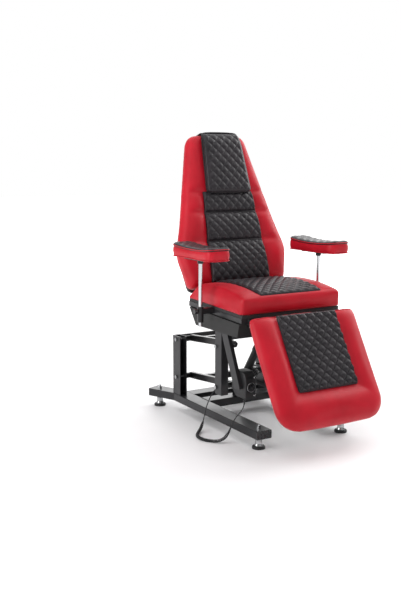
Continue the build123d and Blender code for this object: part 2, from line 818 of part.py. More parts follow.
# Steel frames of the back and the leg rest: a tube on the hinge, ribs behind the board
# and a pair of levers for the actuator
for which, place, radius, behind, rib_end, lever, turn in (
        ("back", back_point, hinge_tube_radius, back_board_rear, back_rib_length,
         back_lever, back_recline),
        ("leg", leg_point, leg_tube_radius, leg_board_rear, leg_rib_length,
         leg_lever, leg_swing)):
    hinge = place(0, 0)
    ahead = 1 if which == "back" else -1
    pin = (hinge[0] + lever * sin(radians(turn / 2)), hinge[1] - lever * cos(radians(turn / 2)))
    with BuildPart() as frame:
        with BuildSketch(side_plane(side_gap - rail_inside)):
            with Locations(hinge):
                Circle(radius)
        extrude(amount=2 * (rail_inside - side_gap))
        for name, side in sides:
            with BuildSketch(side_plane(side * rib_side)):
                with Locations(hinge):
                    Circle(radius)
                with BuildLine():
                    Polyline(place(rib_start, behind), place(rib_root, behind),
                             place(rib_root, behind - rib_height),
                             place(rib_start, behind - rib_height), close=True)
                make_face()
                make_hull()
            extrude(amount=side * rib_thickness)
            with BuildSketch(side_plane(side * rib_side)):
                with BuildLine():
                    Polyline(place(rib_start, behind), place(rib_end, behind),
                             place(rib_end, behind - rib_tip),
                             place(rib_root, behind - rib_height),
                             place(rib_start, behind - rib_height), close=True)
                make_face()
            extrude(amount=side * rib_thickness)
            with BuildSketch(side_plane(side * (eye_thickness / 2 + side_gap))):
                with Locations(hinge):
                    Circle(radius)
                with Locations(pin):
                    Circle(lever_eye_radius)
                make_hull()
            extrude(amount=side * rib_thickness)
        with BuildSketch(side_plane(-eye_thickness / 2 - rib_thickness)):
            with Locations(pin):
                Circle(lever_pin_radius)
        extrude(amount=eye_thickness + 2 * rib_thickness)
        with BuildSketch(side_plane(-rail_inside)):
            with Locations(hinge):
                Circle(hinge_pin_radius + running_gap)
        extrude(amount=2 * rail_inside, mode=Mode.SUBTRACT)
    keep(frame, f"{which}_frame")


# Upholstery. A stuffed cover is lofted through its outline at several heights
def tilted(place, out):
    """A plane across the back or the leg rest, out from its hinge; its y runs upward."""
    low, high = place(0, out), place(0, out + overrun)
    return Plane(origin=(0, *low), x_dir=(1, 0, 0), z_dir=(0, high[0] - low[0], high[1] - low[1]))


def back_outline(inset, low):
    """Corners and corner radii of the back rest's outline."""
    corners = [(back_foot_half_width - inset, low + inset), (back_half_width - inset, back_widest),
               (back_top_half_width - inset, back_length - inset)]
    mirrored = [(-x, y) for x, y in reversed(corners)]
    radii = [back_foot_corner, back_waist_round, back_corner]
    return corners + mirrored, radii + radii[::-1]


def leg_outline(inset):
    """Corners and corner radii of the leg rest's outline, y running up the leg."""
    corners = [(leg_half_width - inset, inset - leg_length), (leg_half_width - inset,
                                                              leg_above - inset)]
    mirrored = [(-x, y) for x, y in reversed(corners)]
    radii = [leg_corner, leg_top_corner]
    return corners + mirrored, radii + radii[::-1]


def pillow_outline(inset):
    """Corners and corner radii of the head pillow's outline."""
    corners = [(pillow_low_half_width - inset, pillow_low + inset),
               (pillow_top_half_width - inset, pillow_top - inset)]
    mirrored = [(-x, y) for x, y in reversed(corners)]
    return corners + mirrored, [pillow_corner] * 4


def pad_outline(side, inset):
    """Corners and corner radii of an arm pad's outline, about its rod."""
    inner, outer = -pad_half_width + inset, pad_half_width - inset
    front, rear = -pad_front + inset, pad_rear - inset
    corners = [(inner, front), (outer, front), (outer - pad_waist, 0), (outer, rear),
               (inner, rear)]
    radii = [pad_corner, pad_corner, pad_waist_round, pad_corner, pad_corner]
    return [(side * (x + arm_rod_side), y + depth(arm_rod_back)) for x, y in corners], radii


quilt_turn = degrees(atan2(quilt_width, quilt_height))


def quilt_lines(half_width, low, high):
    """Middles of the stitched lines that cross a panel both ways, in a row across it."""
    lean_across = (high - low) / 2 * quilt_width / quilt_height
    count = int((half_width + lean_across) / quilt_width) + 1
    return [(step * quilt_width, (low + high) / 2) for step in range(-count, count + 1)]


back_cushion_rear = back_board_rear + back_board_thickness
back_front = back_cushion_rear + back_thickness
with BuildPart() as back_board:
    with BuildSketch(tilted(back_point, back_board_rear)):
        with BuildLine():
            corners, radii = back_outline(back_board_inset, back_low - back_board_inset)
            FilletPolyline(*corners, radius=radii, close=True)
        make_face()
    extrude(amount=back_board_thickness)
keep(back_board, "back_board")

with BuildPart() as back_cushion:
    for share, inset in zip(swell_shares, cushion_insets):
        out = back_cushion_rear + share * back_thickness
        with BuildSketch(tilted(back_point, out)):
            with BuildLine():
                corners, radii = back_outline(inset, back_low + share * back_slant)
                FilletPolyline(*corners, radius=radii, close=True)
            make_face()
    loft()
    with BuildSketch(tilted(back_point, back_front - roll_sink)):
        with BuildLine():
            corners = [(width, up) for width, up in zip(roll_half_widths, roll_bounds)]
            corners.insert(0, (roll_half_widths[0], back_low - overrun))
            Polyline(*corners, *[(-x, y) for x, y in reversed(corners)], close=True)
        make_face()
    extrude(amount=2 * roll_sink, mode=Mode.SUBTRACT)
keep(back_cushion, "back_cushion")

roll_base = back_front - roll_sink + cushion_gap
for number, name in enumerate(("lower", "middle", "upper")):
    low, high = roll_bounds[number] + roll_gap, roll_bounds[number + 1] - roll_gap
    wide, narrow = roll_half_widths[number], roll_half_widths[number + 1]
    with BuildPart() as roll:
        with BuildSketch(side_plane(0)):
            with BuildLine():
                Line(back_point(low, roll_base), back_point(high, roll_base))
                ThreePointArc(back_point(high, roll_base),
                              back_point((low + high) / 2, roll_base + roll_swells[number]),
                              back_point(low, roll_base))
            make_face()
        extrude(amount=wide, both=True)
        with BuildSketch(tilted(back_point, roll_base)):
            with BuildLine():
                Polyline((wide - cushion_gap, low), (narrow - cushion_gap, high),
                         (cushion_gap - narrow, high), (cushion_gap - wide, low), close=True)
            make_face()
        extrude(amount=2 * roll_swells[number], mode=Mode.INTERSECT)
    keep(roll, f"back_roll_{name}")

with BuildPart() as pillow:
    for share, inset in zip(swell_shares, pillow_insets):
        out = back_front + cushion_gap + share * pillow_thickness
        with BuildSketch(tilted(back_point, out)):
            with BuildLine():
                corners, radii = pillow_outline(inset)
                FilletPolyline(*corners, radius=radii, close=True)
            make_face()
    loft()
    with BuildSketch(tilted(back_point, back_front + pillow_thickness - quilt_sink)):
        with Locations(*quilt_lines(pillow_low_half_width, pillow_low, pillow_top)):
            for turn in (-quilt_turn, quilt_turn):
                Rectangle(quilt_groove, 2 * (pillow_top - pillow_low), rotation=turn)
    extrude(amount=2 * quilt_sink, mode=Mode.SUBTRACT)
keep(pillow, "head_pillow")

leg_cushion_rear = leg_board_rear + leg_board_thickness
leg_front = leg_cushion_rear + leg_thickness
with BuildPart() as leg_board:
    with BuildSketch(tilted(leg_point, leg_board_rear)):
        with BuildLine():
            corners, radii = leg_outline(leg_board_inset)
            FilletPolyline(*corners, radius=radii, close=True)
        make_face()
    extrude(amount=leg_board_thickness)
keep(leg_board, "leg_board")

with BuildPart() as leg_cushion:
    for share, inset in zip(swell_shares, cushion_insets):
        with BuildSketch(tilted(leg_point, leg_cushion_rear + share * leg_thickness)):
            with BuildLine():
                corners, radii = leg_outline(inset)
                FilletPolyline(*corners, radius=radii, close=True)
            make_face()
    loft()
    with BuildSketch(tilted(leg_point, leg_front - leg_panel_sink)):
        with Locations((0, leg_above - leg_panel_length)):
            RectangleRounded(2 * leg_panel_half_width, 2 * leg_panel_length, leg_panel_corner,
                             align=(Align.CENTER, Align.MIN))
    extrude(amount=2 * leg_panel_sink, mode=Mode.SUBTRACT)
keep(leg_cushion, "leg_cushion")

with BuildPart() as leg_panel:
    panel_floor = leg_front - leg_panel_sink + cushion_gap
    with BuildSketch(tilted(leg_point, panel_floor)):
        with Locations((0, leg_above - leg_panel_length + cushion_gap)):
            RectangleRounded(2 * (leg_panel_half_width - cushion_gap),
                             leg_panel_length - cushion_insets[3], leg_panel_corner,
                             align=(Align.CENTER, Align.MIN))
    extrude(amount=leg_panel_sink + leg_panel_swell)
    top = leg_panel.faces().sort_by(lambda face: face.center().Y - face.center().Z)[0]
    chamfer(top.edges(), leg_panel_swell)
    with BuildSketch(tilted(leg_point, panel_floor + leg_panel_sink + leg_panel_swell - quilt_sink)):
        with Locations(*quilt_lines(leg_panel_half_width, -leg_panel_length, 0)):
            for turn in (-quilt_turn, quilt_turn):
                Rectangle(quilt_groove, 2 * leg_panel_length, rotation=turn)
    extrude(amount=2 * quilt_sink, mode=Mode.SUBTRACT)
keep(leg_panel, "leg_panel")

# Seat cushion: its side outline drawn across, rounded along both ends, with a bed for
# the panel
seat_toe, seat_heel = seat_point(0, 0), seat_point(seat_depth, 0)
with BuildPart() as seat_cushion:
    with BuildSketch(side_plane(0)):
        with BuildLine():
            nose = seat_point(-seat_pull / 2, seat_nose_rise)
            brow = seat_point(seat_shoulder, seat_front_rise)
            rear_top = seat_point(seat_rear_along, seat_rear_rise)
            heel = seat_point(seat_depth, seat_heel_rise)
            Line(seat_heel, seat_toe)
            Line(seat_toe, nose)
            ThreePointArc(nose, seat_point(seat_shoulder / 4, seat_front_rise - seat_shoulder / 4),
                          brow)
            ThreePointArc(brow, seat_point(seat_crown_along, seat_crown_rise), rear_top)
            Line(rear_top, heel)
            Line(heel, seat_heel)
        make_face()
    extrude(amount=seat_half_width, both=True)
    ends = seat_cushion.faces().filter_by(Plane.YZ)
    rims = [edge for face in ends for edge in face.edges()
            if edge.center().Z > under_seat(edge.center().Y, overrun)]
    fillet(rims, seat_edge_round)
    with BuildSketch(side_plane(0)):
        with BuildLine():
            bed_front = seat_point(seat_shoulder, seat_front_rise - panel_sink)
            bed_rear = seat_point(seat_rear_along, seat_rear_rise - panel_sink)
            bed_middle = seat_point(seat_crown_along, seat_crown_rise - panel_sink)
            ThreePointArc(bed_front, bed_middle, bed_rear)
            Polyline(bed_rear, seat_point(seat_depth, seat_rear_rise - panel_sink),
                     seat_point(seat_depth, 2 * seat_crown_rise),
                     seat_point(seat_shoulder, 2 * seat_crown_rise), bed_front)
        make_face()
    extrude(amount=panel_half_width, both=True, mode=Mode.SUBTRACT)
keep(seat_cushion, "seat_cushion")

with BuildPart() as seat_panel:
    lift = panel_sink - cushion_gap
    panel_front = seat_shoulder + cushion_gap
    for sunk in (0, quilt_sink):
        with BuildSketch(side_plane(0)):
            with BuildLine():
                low_front = seat_point(panel_front, seat_front_rise - lift)
                low_rear = seat_point(seat_rear_along, seat_rear_rise - lift)
                high_rear = seat_point(seat_rear_along, seat_rear_rise - sunk)
                high_front = seat_point(panel_front, seat_front_rise - sunk)
                ThreePointArc(low_front, seat_point(seat_crown_along, seat_crown_rise - lift),
                              low_rear)
                Line(low_rear, high_rear)
                ThreePointArc(high_rear,
                              seat_point(seat_crown_along, seat_crown_rise + panel_swell - sunk),
                              high_front)
                Line(high_front, low_front)
            make_face()
        extrude(amount=panel_half_width - cushion_gap, both=True)
        if sunk == 0:
            with BuildSketch(Plane.XY.offset(seat_front_height)):
                with Locations(*quilt_lines(panel_half_width, high_front[0], high_rear[0])):
                    for turn in (-quilt_turn, quilt_turn):
                        Rectangle(quilt_groove, 2 * seat_depth, rotation=turn)
            extrude(amount=2 * seat_crown_rise, mode=Mode.SUBTRACT)
keep(seat_panel, "seat_panel")

# Arm rests: a socket on a stub from the seat rail, a rod that slides in it, a clamp knob,
# and a pad on a plate that swivels on the rod's end
rod_y = depth(arm_rod_back)
rod_bottom = socket_top - socket_length - arm_rod_below
plate_underside = pad_base - pad_plate_thickness
stub_underside = under_seat(rod_y, rail_underside) + socket_arm_height / 4
knob_height = stub_underside + socket_arm_height / 2
with BuildPart() as socket:
    with BuildSketch(Plane.XY.offset(socket_top - socket_length)):
        with Locations((-arm_rod_side, rod_y)):
            Circle(socket_radius)
    extrude(amount=socket_length)
    chamfer(socket.edges().filter_by(GeomType.CIRCLE), tube_wall / 2)
    with BuildSketch(side_plane(-rail_outside)):
        with Locations((rod_y, knob_height)):
            RectangleRounded(socket_arm_depth, socket_arm_height, weld_edge)
    extrude(amount=rail_outside - arm_rod_side)
    with BuildSketch(Plane.XY.offset(socket_top - socket_length - overrun)):
        with Locations((-arm_rod_side, rod_y)):
            Circle(arm_rod_radius + running_gap)
    extrude(amount=socket_length + 2 * overrun, mode=Mode.SUBTRACT)
    with BuildSketch(side_plane(-arm_rod_side)):
        with Locations((rod_y, knob_height)):
            Circle(knob_stem_radius + running_gap)
    extrude(amount=-2 * socket_radius, mode=Mode.SUBTRACT)
keep(socket, "arm_socket_left")

with BuildPart() as right_socket:
    add(mirror(socket.part, about=Plane.YZ))
keep(right_socket, "arm_socket_right")

for name, side in sides:
    with BuildPart() as knob:
        knob_face = arm_rod_side + socket_radius + knob_reach - knob_length
        with BuildSketch(side_plane(side * (arm_rod_side + arm_rod_radius + side_gap))):
            with Locations((rod_y, knob_height)):
                Circle(knob_stem_radius)
        extrude(amount=side * (knob_face - arm_rod_side - arm_rod_radius))
        with BuildSketch(side_plane(side * knob_face)):
            with Locations((rod_y, knob_height)):
                Circle(knob_radius - knob_lobe_radius / 2)
                with PolarLocations(knob_radius - knob_lobe_radius, knob_lobes):
                    Circle(knob_lobe_radius)
        extrude(amount=side * knob_length)
    keep(knob, f"clamp_knob_{name}")

    with BuildPart() as rod:
        with BuildSketch(Plane.XY.offset(rod_bottom)):
            with Locations((side * arm_rod_side, rod_y)):
                Circle(arm_rod_radius)
        extrude(amount=plate_underside - side_gap - rod_bottom)
        chamfer(rod.edges().filter_by(GeomType.CIRCLE), rod_bevel)
    keep(rod, f"arm_rod_{name}")

    with BuildPart() as plate:
        with BuildSketch(Plane.XY.offset(plate_underside)):
            with Locations((side * arm_rod_side, rod_y)):
                RectangleRounded(pad_plate_width, pad_plate_length, gearbox_corner)
        extrude(amount=pad_plate_thickness)
        with BuildSketch(Plane.XY.offset(plate_underside - pad_boss_height)):
            with Locations((side * arm_rod_side, rod_y)):
                Circle(pad_boss_radius)
        extrude(amount=pad_boss_height)
        with BuildSketch(Plane.XY.offset(plate_underside - pad_boss_height)):
            with Locations((side * arm_rod_side, rod_y)):
                Circle(arm_rod_radius + running_gap)
        extrude(amount=pad_boss_height, mode=Mode.SUBTRACT)
    keep(plate, f"arm_plate_{name}")

    with BuildPart() as pad:
        for share, inset in zip(swell_shares, pad_insets):
            with BuildSketch(Plane.XY.offset(pad_base + share * pad_thickness)):
                with BuildLine():
                    corners, radii = pad_outline(side, inset)
                    FilletPolyline(*corners, radius=radii, close=True)
                make_face()
        loft()
        with BuildSketch(Plane.XY.offset(pad_base + pad_thickness - quilt_sink)):
            pad_lines = quilt_lines(pad_half_width, rod_y - pad_front, rod_y + pad_rear)
            with Locations(*[(side * arm_rod_side + across, along) for across, along in pad_lines]):
                for turn in (-quilt_turn, quilt_turn):
                    Rectangle(quilt_groove, 4 * pad_rear, rotation=turn)
        extrude(amount=2 * quilt_sink, mode=Mode.SUBTRACT)
    keep(pad, f"arm_pad_{name}")

# Control box on its hanger, and the handset cord
with BuildPart() as hanger:
    with BuildSketch(side_plane(-hanger_outside)):
        with BuildLine():
            half = hanger_width / 2
            Polyline((mover_front - hanger_top - half, trough_floor_height),
                     (mover_front - hanger_top + half, trough_floor_height),
                     (mover_front - hanger_foot + half, hanger_foot_height),
                     (mover_front - hanger_foot - half, hanger_foot_height), close=True)
        make_face()
    extrude(amount=hanger_thickness)
    fillet(hanger.edges().filter_by(Axis.X).group_by(Axis.Z)[0], gearbox_corner)
keep(hanger, "control_box_hanger")

box_outside = hanger_outside - hanger_thickness
gland_x = -box_outside + box_width / 4
with BuildPart() as control_box:
    with BuildSketch(Plane.XY.offset(box_underside)):
        with Locations((box_width / 2 - box_outside, mover_front - box_middle)):
            RectangleRounded(box_width, box_depth, box_corner)
    extrude(amount=box_height)
    fillet(control_box.edges().group_by(Axis.Z)[-1], weld_edge)
    with BuildSketch(Plane.XY.offset(box_underside)):
        with Locations((gland_x, mover_front - gland_middle)):
            Circle(gland_radius)
    extrude(amount=-gland_length, taper=cup_taper)
keep(control_box, "control_box")

post_gland_x = -(mover_inside + mover_width / 2)
with BuildPart() as post_gland:
    with BuildSketch(Plane.XZ.offset(-mover_back)):
        with Locations((post_gland_x, gland_height)):
            Circle(gland_radius)
    extrude(amount=-gland_length, taper=cup_taper)
keep(post_gland, "post_cord_gland")


def cord_radii(points):
    """Bend radii of a tube's runs: 0.45 of the shorter run over the tangent of half the turn."""
    radii = []
    for before, here, after in zip(points, points[1:], points[2:]):
        into, away = Vector(here) - Vector(before), Vector(after) - Vector(here)
        half_turn = radians(into.get_angle(away)) / 2
        radii.append(bend_share * min(into.length, away.length) / tan(half_turn))
    return radii


def carried_sides(line):
    """Sideways directions along a line, each carried on from the last without twist."""
    side, found = Vector(0, 0, 1), []
    for step in range(carry_steps + 1):
        along = line % (step / carry_steps)
        side = (side - along * side.dot(along)).normalized()
        found.append(side)
    return found


def curl_place(line, found, turns):
    """A place on the curly stretch, after so many turns round its line."""
    stub_share = 2 * lead_stub / line.length
    share = stub_share + (1 - 2 * stub_share) * turns / curls
    along = line % share
    side = found[round(share * carry_steps)]
    side = (side - along * side.dot(along)).normalized()
    widening = min(1, turns / curl_start_turns, (curls - turns) / curl_start_turns)
    reach = (curl_radius - curl_wire) * widening
    angle = 2 * pi * turns
    return line @ share + side * (reach * cos(angle)) + along.cross(side) * (reach * sin(angle))


def joining_arcs(start, leaving, end, arriving):
    """Where two arcs that join two places smoothly meet, and the direction there."""
    across, both = end - start, leaving + arriving
    spare = 2 * (1 - leaving.dot(arriving))
    forward = across.dot(both)
    pull = (sqrt(forward ** 2 + spare * across.dot(across)) - forward) / spare
    near, far = start + leaving * pull, end - arriving * pull
    return (near + far) / 2, (far - near).normalized()


def least_gap(line, radius):
    """Least gap between stretches of a wound tube that are over half a turn apart."""
    count = int(line.length / gap_step)
    places = [line @ (step / count) for step in range(count + 1)]
    apart = int(pi * (curl_radius - curl_wire) / gap_step) + 1
    least = min((here - there).length for number, here in enumerate(places)
                for there in places[number + apart:number + 4 * apart])
    return least - 2 * radius


for name, radius, points in (("cord_lead_front", lead_radius, front_lead_points),
                             ("cord_lead_rear", lead_radius, rear_lead_points)):
    radii = cord_radii(points)
    with BuildPart() as cord:
        with BuildLine() as route:
            FilletPolyline(*points, radius=radii)
        centre_line = route.wires()[0]
        with BuildSketch(Plane(origin=centre_line @ 0, z_dir=centre_line % 0)):
            Circle(radius)
        sweep()
    keep(cord, name)
    whole = pi * radius ** 2 * centre_line.length
    print(name, "length", round(centre_line.length), "radii", [round(r) for r in radii],
          "volume share", round(cord.part.volume / whole, 4))

with BuildLine() as curl_route:
    FilletPolyline(*curl_points, radius=cord_radii(curl_points))
curl_line = curl_route.wires()[0]
curl_sides = carried_sides(curl_line)
stub_share = lead_stub / curl_line.length
knots = [(curl_line @ 0, curl_line % 0), (curl_line @ stub_share, curl_line % 0)]
for step in range(1, steps_per_curl * curls):
    turns = step / steps_per_curl
    widening = turns < curl_start_turns or turns > curls - curl_start_turns
    if step % 2 == 0 or widening:
        before = curl_place(curl_line, curl_sides, turns - tangent_step)
        after = curl_place(curl_line, curl_sides, turns + tangent_step)
        knots.append((curl_place(curl_line, curl_sides, turns), (after - before).normalized()))
knots += [(curl_line @ (1 - stub_share), curl_line % 1), (curl_line @ 1, curl_line % 1)]
with BuildPart() as cord_curls:
    with BuildLine() as coil:
        Line(knots[0][0], knots[1][0])
        for (start, leaving), (end, arriving) in zip(knots[1:-2], knots[2:-1]):
            middle, through = joining_arcs(start, leaving, end, arriving)
            TangentArc(start, middle, tangent=leaving)
            TangentArc(middle, end, tangent=through)
        Line(knots[-2][0], knots[-1][0])
    coil_line = coil.wires()[0]
    with BuildSketch(Plane(origin=coil_line @ 0, z_dir=coil_line % 0)):
        Circle(curl_wire)
    sweep()
keep(cord_curls, "cord_curls")
bends = [edge.radius for edge in coil_line.edges() if edge.geom_type == GeomType.CIRCLE]
whole = pi * curl_wire ** 2 * coil_line.length
print("cord_curls route", round(curl_line.length), "wire", round(coil_line.length),
      "tightest", round(min(bends), 1), "least gap", round(least_gap(coil_line, curl_wire), 2),
      "volume share", round(cord_curls.part.volume / whole, 4))
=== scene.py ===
import json
from math import ceil, cos, exp, pi, radians, sin, sqrt

import bpy
import bmesh
from mathutils import Matrix, Vector
from mathutils.bvhtree import BVHTree


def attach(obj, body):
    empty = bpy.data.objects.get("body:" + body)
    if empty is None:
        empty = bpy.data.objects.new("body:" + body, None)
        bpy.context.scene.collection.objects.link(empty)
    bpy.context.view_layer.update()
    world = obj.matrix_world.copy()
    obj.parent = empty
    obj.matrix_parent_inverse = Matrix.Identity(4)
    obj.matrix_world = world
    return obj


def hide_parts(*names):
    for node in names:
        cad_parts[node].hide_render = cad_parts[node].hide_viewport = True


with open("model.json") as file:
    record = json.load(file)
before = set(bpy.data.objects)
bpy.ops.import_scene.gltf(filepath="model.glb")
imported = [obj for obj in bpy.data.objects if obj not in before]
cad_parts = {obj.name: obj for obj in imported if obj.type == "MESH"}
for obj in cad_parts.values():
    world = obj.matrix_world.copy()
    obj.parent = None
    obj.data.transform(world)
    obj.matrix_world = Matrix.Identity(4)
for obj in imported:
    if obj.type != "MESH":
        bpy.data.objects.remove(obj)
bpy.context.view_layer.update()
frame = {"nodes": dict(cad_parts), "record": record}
nodes = frame["nodes"]
scene = bpy.context.scene
print("frame loaded:", len(nodes), "nodes")


# Where the seat, the back and the leg rest lie: local x is across, y runs up the
# cushion and z points out of it towards the sitter
sections = {
    "seat": {"origin": (0, -0.240, 0.607), "rise": 2.4},
    "back": {"origin": (0, 0.268, 0.600), "rise": 72.4},
    "leg": {"origin": (0, -0.256, 0.563), "rise": 60.0},
}


def sectionPlace(name):
    section = sections[name]
    return Matrix.Translation(section["origin"]) @ Matrix.Rotation(radians(section["rise"]), 4, "X")


seatPlace, backPlace, legPlace = (sectionPlace(name) for name in ("seat", "back", "leg"))


# Materials: a few small helpers, then one function for each kind of finish
def startMaterial(name, colour, roughness, metallic=0.0):
    material = bpy.data.materials.new(name)
    material.use_nodes = True
    shader = material.node_tree.nodes["Principled BSDF"]
    shader.inputs["Base Color"].default_value = (*colour, 1)
    shader.inputs["Roughness"].default_value = roughness
    shader.inputs["Metallic"].default_value = metallic
    return material, shader


# The helpers take the shader, which knows the node tree that it stands in
def addNode(shader, kind, **sockets):
    node = shader.id_data.nodes.new(kind)
    for name, value in sockets.items():
        node.inputs[name.replace("_", " ")].default_value = value
    return node


def join(fromSocket, toSocket):
    fromSocket.id_data.links.new(fromSocket, toSocket)


# A texture laid out in the piece's own axes
def textureOf(shader, kind, **sockets):
    place = addNode(shader, "ShaderNodeTexCoord")
    texture = addNode(shader, kind, **sockets)
    join(place.outputs["Object"], texture.inputs["Vector"])
    return texture


def noiseOf(shader, scale, detail=4.0, roughness=0.55):
    return textureOf(shader, "ShaderNodeTexNoise", Scale=scale, Detail=detail,
                     Roughness=roughness).outputs["Fac"]


def cellsOf(shader, scale, feature="DISTANCE_TO_EDGE"):
    cells = textureOf(shader, "ShaderNodeTexVoronoi", Scale=scale)
    cells.feature = feature
    return cells.outputs["Distance"]


# Waves of thin lines along one axis
def linesOf(shader, scale, distortion, direction):
    lines = textureOf(shader, "ShaderNodeTexWave", Scale=scale, Distortion=distortion)
    lines.bands_direction = direction
    return lines.outputs["Fac"]


def rampOf(shader, factor, stops):
    ramp = addNode(shader, "ShaderNodeValToRGB")
    elements = ramp.color_ramp.elements
    while len(elements) < len(stops):
        elements.new(0.5)
    for element, (position, colour) in zip(elements, stops):
        element.position = position
        element.color = (*colour, 1)
    join(factor, ramp.inputs["Fac"])
    return ramp.outputs["Color"]


def rangeOf(shader, factor, low, high):
    spread = addNode(shader, "ShaderNodeMapRange", To_Min=low, To_Max=high)
    join(factor, spread.inputs["Value"])
    return spread.outputs["Result"]


def calculate(shader, operation, first, second=None):
    node = addNode(shader, "ShaderNodeMath")
    node.operation = operation
    for socket, value in zip(node.inputs, (first, second)):
        if value is None:
            continue
        if isinstance(value, (int, float)):
            socket.default_value = value
        else:
            join(value, socket)
    return node.outputs[0]


def bumpOf(shader, height, strength, distance, under=None):
    bump = addNode(shader, "ShaderNodeBump", Strength=strength, Distance=distance)
    join(height, bump.inputs["Height"])
    if under is not None:
        join(under, bump.inputs["Normal"])
    join(bump.outputs["Normal"], shader.inputs["Normal"])
    return bump.outputs["Normal"]


# Most finishes vary in colour and in roughness by a noise
def varyColour(shader, factor, stops):
    join(rampOf(shader, factor, stops), shader.inputs["Base Color"])


def varyRoughness(shader, scale, detail, low, high):
    join(rangeOf(shader, noiseOf(shader, scale, detail), low, high),
         shader.inputs["Roughness"])


leatherLook = {
    "grainScale": 420.0, "poreScale": 1150.0, "grainDepth": 0.00035, "wrinkleScale": 26.0,
    "wrinkleDepth": 0.0012, "tintScale": 7.0, "wearScale": 60.0, "smoother": 0.08,
    "rougher": 0.12, "specular": 0.27, "sheen": 0.03, "sheenRoughness": 0.4,
}


def leatherMaterial(name, colour, shade, roughness):
    look = leatherLook
    material, shader = startMaterial(name, colour, roughness)
    varyColour(shader, noiseOf(shader, look["tintScale"], 3),
               ((0.30, shade), (0.62, colour)))
    varyRoughness(shader, look["wearScale"], 6, roughness - look["smoother"],
                  roughness + look["rougher"])
    shader.inputs["Specular IOR Level"].default_value = look["specular"]
    shader.inputs["Sheen Weight"].default_value = look["sheen"]
    shader.inputs["Sheen Roughness"].default_value = look["sheenRoughness"]
    wrinkles = bumpOf(shader, noiseOf(shader, look["wrinkleScale"], 5, 0.6), 0.22,
                      look["wrinkleDepth"])
    grain = bumpOf(shader, cellsOf(shader, look["grainScale"]), 0.35,
                   look["grainDepth"], wrinkles)
    bumpOf(shader, noiseOf(shader, look["poreScale"], 2), 0.2,
           look["grainDepth"] / 2, grain)
    return material


stitchLook = {"lineWidth": 0.020, "stitchesPerDiamond": 11.0, "stitchShare": 0.62,
              "thread": (0.030, 0.028, 0.031), "raise": 0.0006}


# The quilted cover's UVs count its stitched lines, so each line lies at a whole number
def quiltedMaterial(name, colour, shade, roughness):
    look = stitchLook
    material = leatherMaterial(name, colour, shade, roughness)
    shader = material.node_tree.nodes["Principled BSDF"]
    plainColour = shader.inputs["Base Color"].links[0].from_socket
    plainNormal = shader.inputs["Normal"].links[0].from_socket
    uv = addNode(shader, "ShaderNodeUVMap")
    uv.uv_map = "quilt"
    split = addNode(shader, "ShaderNodeSeparateXYZ")
    join(uv.outputs["UV"], split.inputs["Vector"])
    masks = []
    for across, along in (("X", "Y"), ("Y", "X")):
        fromLine = calculate(shader, "ADD", split.outputs[across], 0.5)
        fromLine = calculate(shader, "FRACT", fromLine)
        fromLine = calculate(shader, "ABSOLUTE", calculate(shader, "SUBTRACT", fromLine, 0.5))
        onLine = calculate(shader, "LESS_THAN", fromLine, look["lineWidth"])
        beat = calculate(shader, "MULTIPLY", split.outputs[along], look["stitchesPerDiamond"])
        dash = calculate(shader, "LESS_THAN", calculate(shader, "FRACT", beat),
                         look["stitchShare"])
        masks.append(calculate(shader, "MULTIPLY", onLine, dash))
    thread = calculate(shader, "MAXIMUM", masks[0], masks[1])
    mix = addNode(shader, "ShaderNodeMix")
    mix.data_type = "RGBA"
    join(thread, mix.inputs["Factor"])
    join(plainColour, mix.inputs[6])
    mix.inputs[7].default_value = (*look["thread"], 1)
    join(mix.outputs[2], shader.inputs["Base Color"])
    bumpOf(shader, thread, 0.5, look["raise"], plainNormal)
    return material


# Enamel shows a faint orange peel, and its edges are rubbed a little lighter
enamelLook = {"wornFrom": 0.50, "wornTo": 0.60, "dustScale": 18.0, "smoother": 0.05,
              "rougher": 0.14, "coatRoughness": 0.18, "specular": 0.22, "peelScale": 260.0,
              "peelDepth": 0.0004}


def enamelMaterial(name, colour, worn, roughness, coat):
    look = enamelLook
    material, shader = startMaterial(name, colour, roughness)
    edges = addNode(shader, "ShaderNodeNewGeometry").outputs["Pointiness"]
    varyColour(shader, edges, ((look["wornFrom"], colour), (look["wornTo"], worn)))
    varyRoughness(shader, look["dustScale"], 7, roughness - look["smoother"],
                  roughness + look["rougher"])
    shader.inputs["Coat Weight"].default_value = coat
    shader.inputs["Coat Roughness"].default_value = look["coatRoughness"]
    shader.inputs["Specular IOR Level"].default_value = look["specular"]
    bumpOf(shader, noiseOf(shader, look["peelScale"], 2), 0.12, look["peelDepth"])
    return material


# Painted reflection: bright metal's colour is painted darker where it turns away from the camera,
# as chrome looks against a white room
metalLook = {"dim": 0.22, "dimFrom": 0.25, "dimTo": 0.85, "smudgeScale": 35.0, "smudge": 0.10,
             "pitScale": 700.0, "lineScale": 900.0, "wearScale": 90.0, "wear": 0.12,
             "depth": 0.0002}


def metalMaterial(name, colour, roughness, wearScale, detail, wear):
    material, shader = startMaterial(name, colour, roughness, 1.0)
    # painted reflection: the base colour fades to a dim copy towards grazing angles, in place of
    # the dark surroundings that real metal reflects
    facing = addNode(shader, "ShaderNodeLayerWeight", Blend=0.5).outputs["Facing"]
    dim = tuple(metalLook["dim"] * part for part in colour)
    varyColour(shader, facing, ((metalLook["dimFrom"], colour),
                                          (metalLook["dimTo"], dim)))
    varyRoughness(shader, wearScale, detail, roughness, roughness + wear)
    return material, shader


def chromeMaterial(name, colour, roughness):
    look = metalLook
    material, shader = metalMaterial(name, colour, roughness, look["smudgeScale"], 5,
                                     look["smudge"])
    bumpOf(shader, noiseOf(shader, look["pitScale"], 2), 0.04, look["depth"])
    return material


# Turned and ground steel has fine lines round it
def turnedMaterial(name, colour, roughness):
    look = metalLook
    material, shader = metalMaterial(name, colour, roughness, look["wearScale"], 4, look["wear"])
    bumpOf(shader, linesOf(shader, look["lineScale"], 1.5, "Z"), 0.12, look["depth"])
    return material


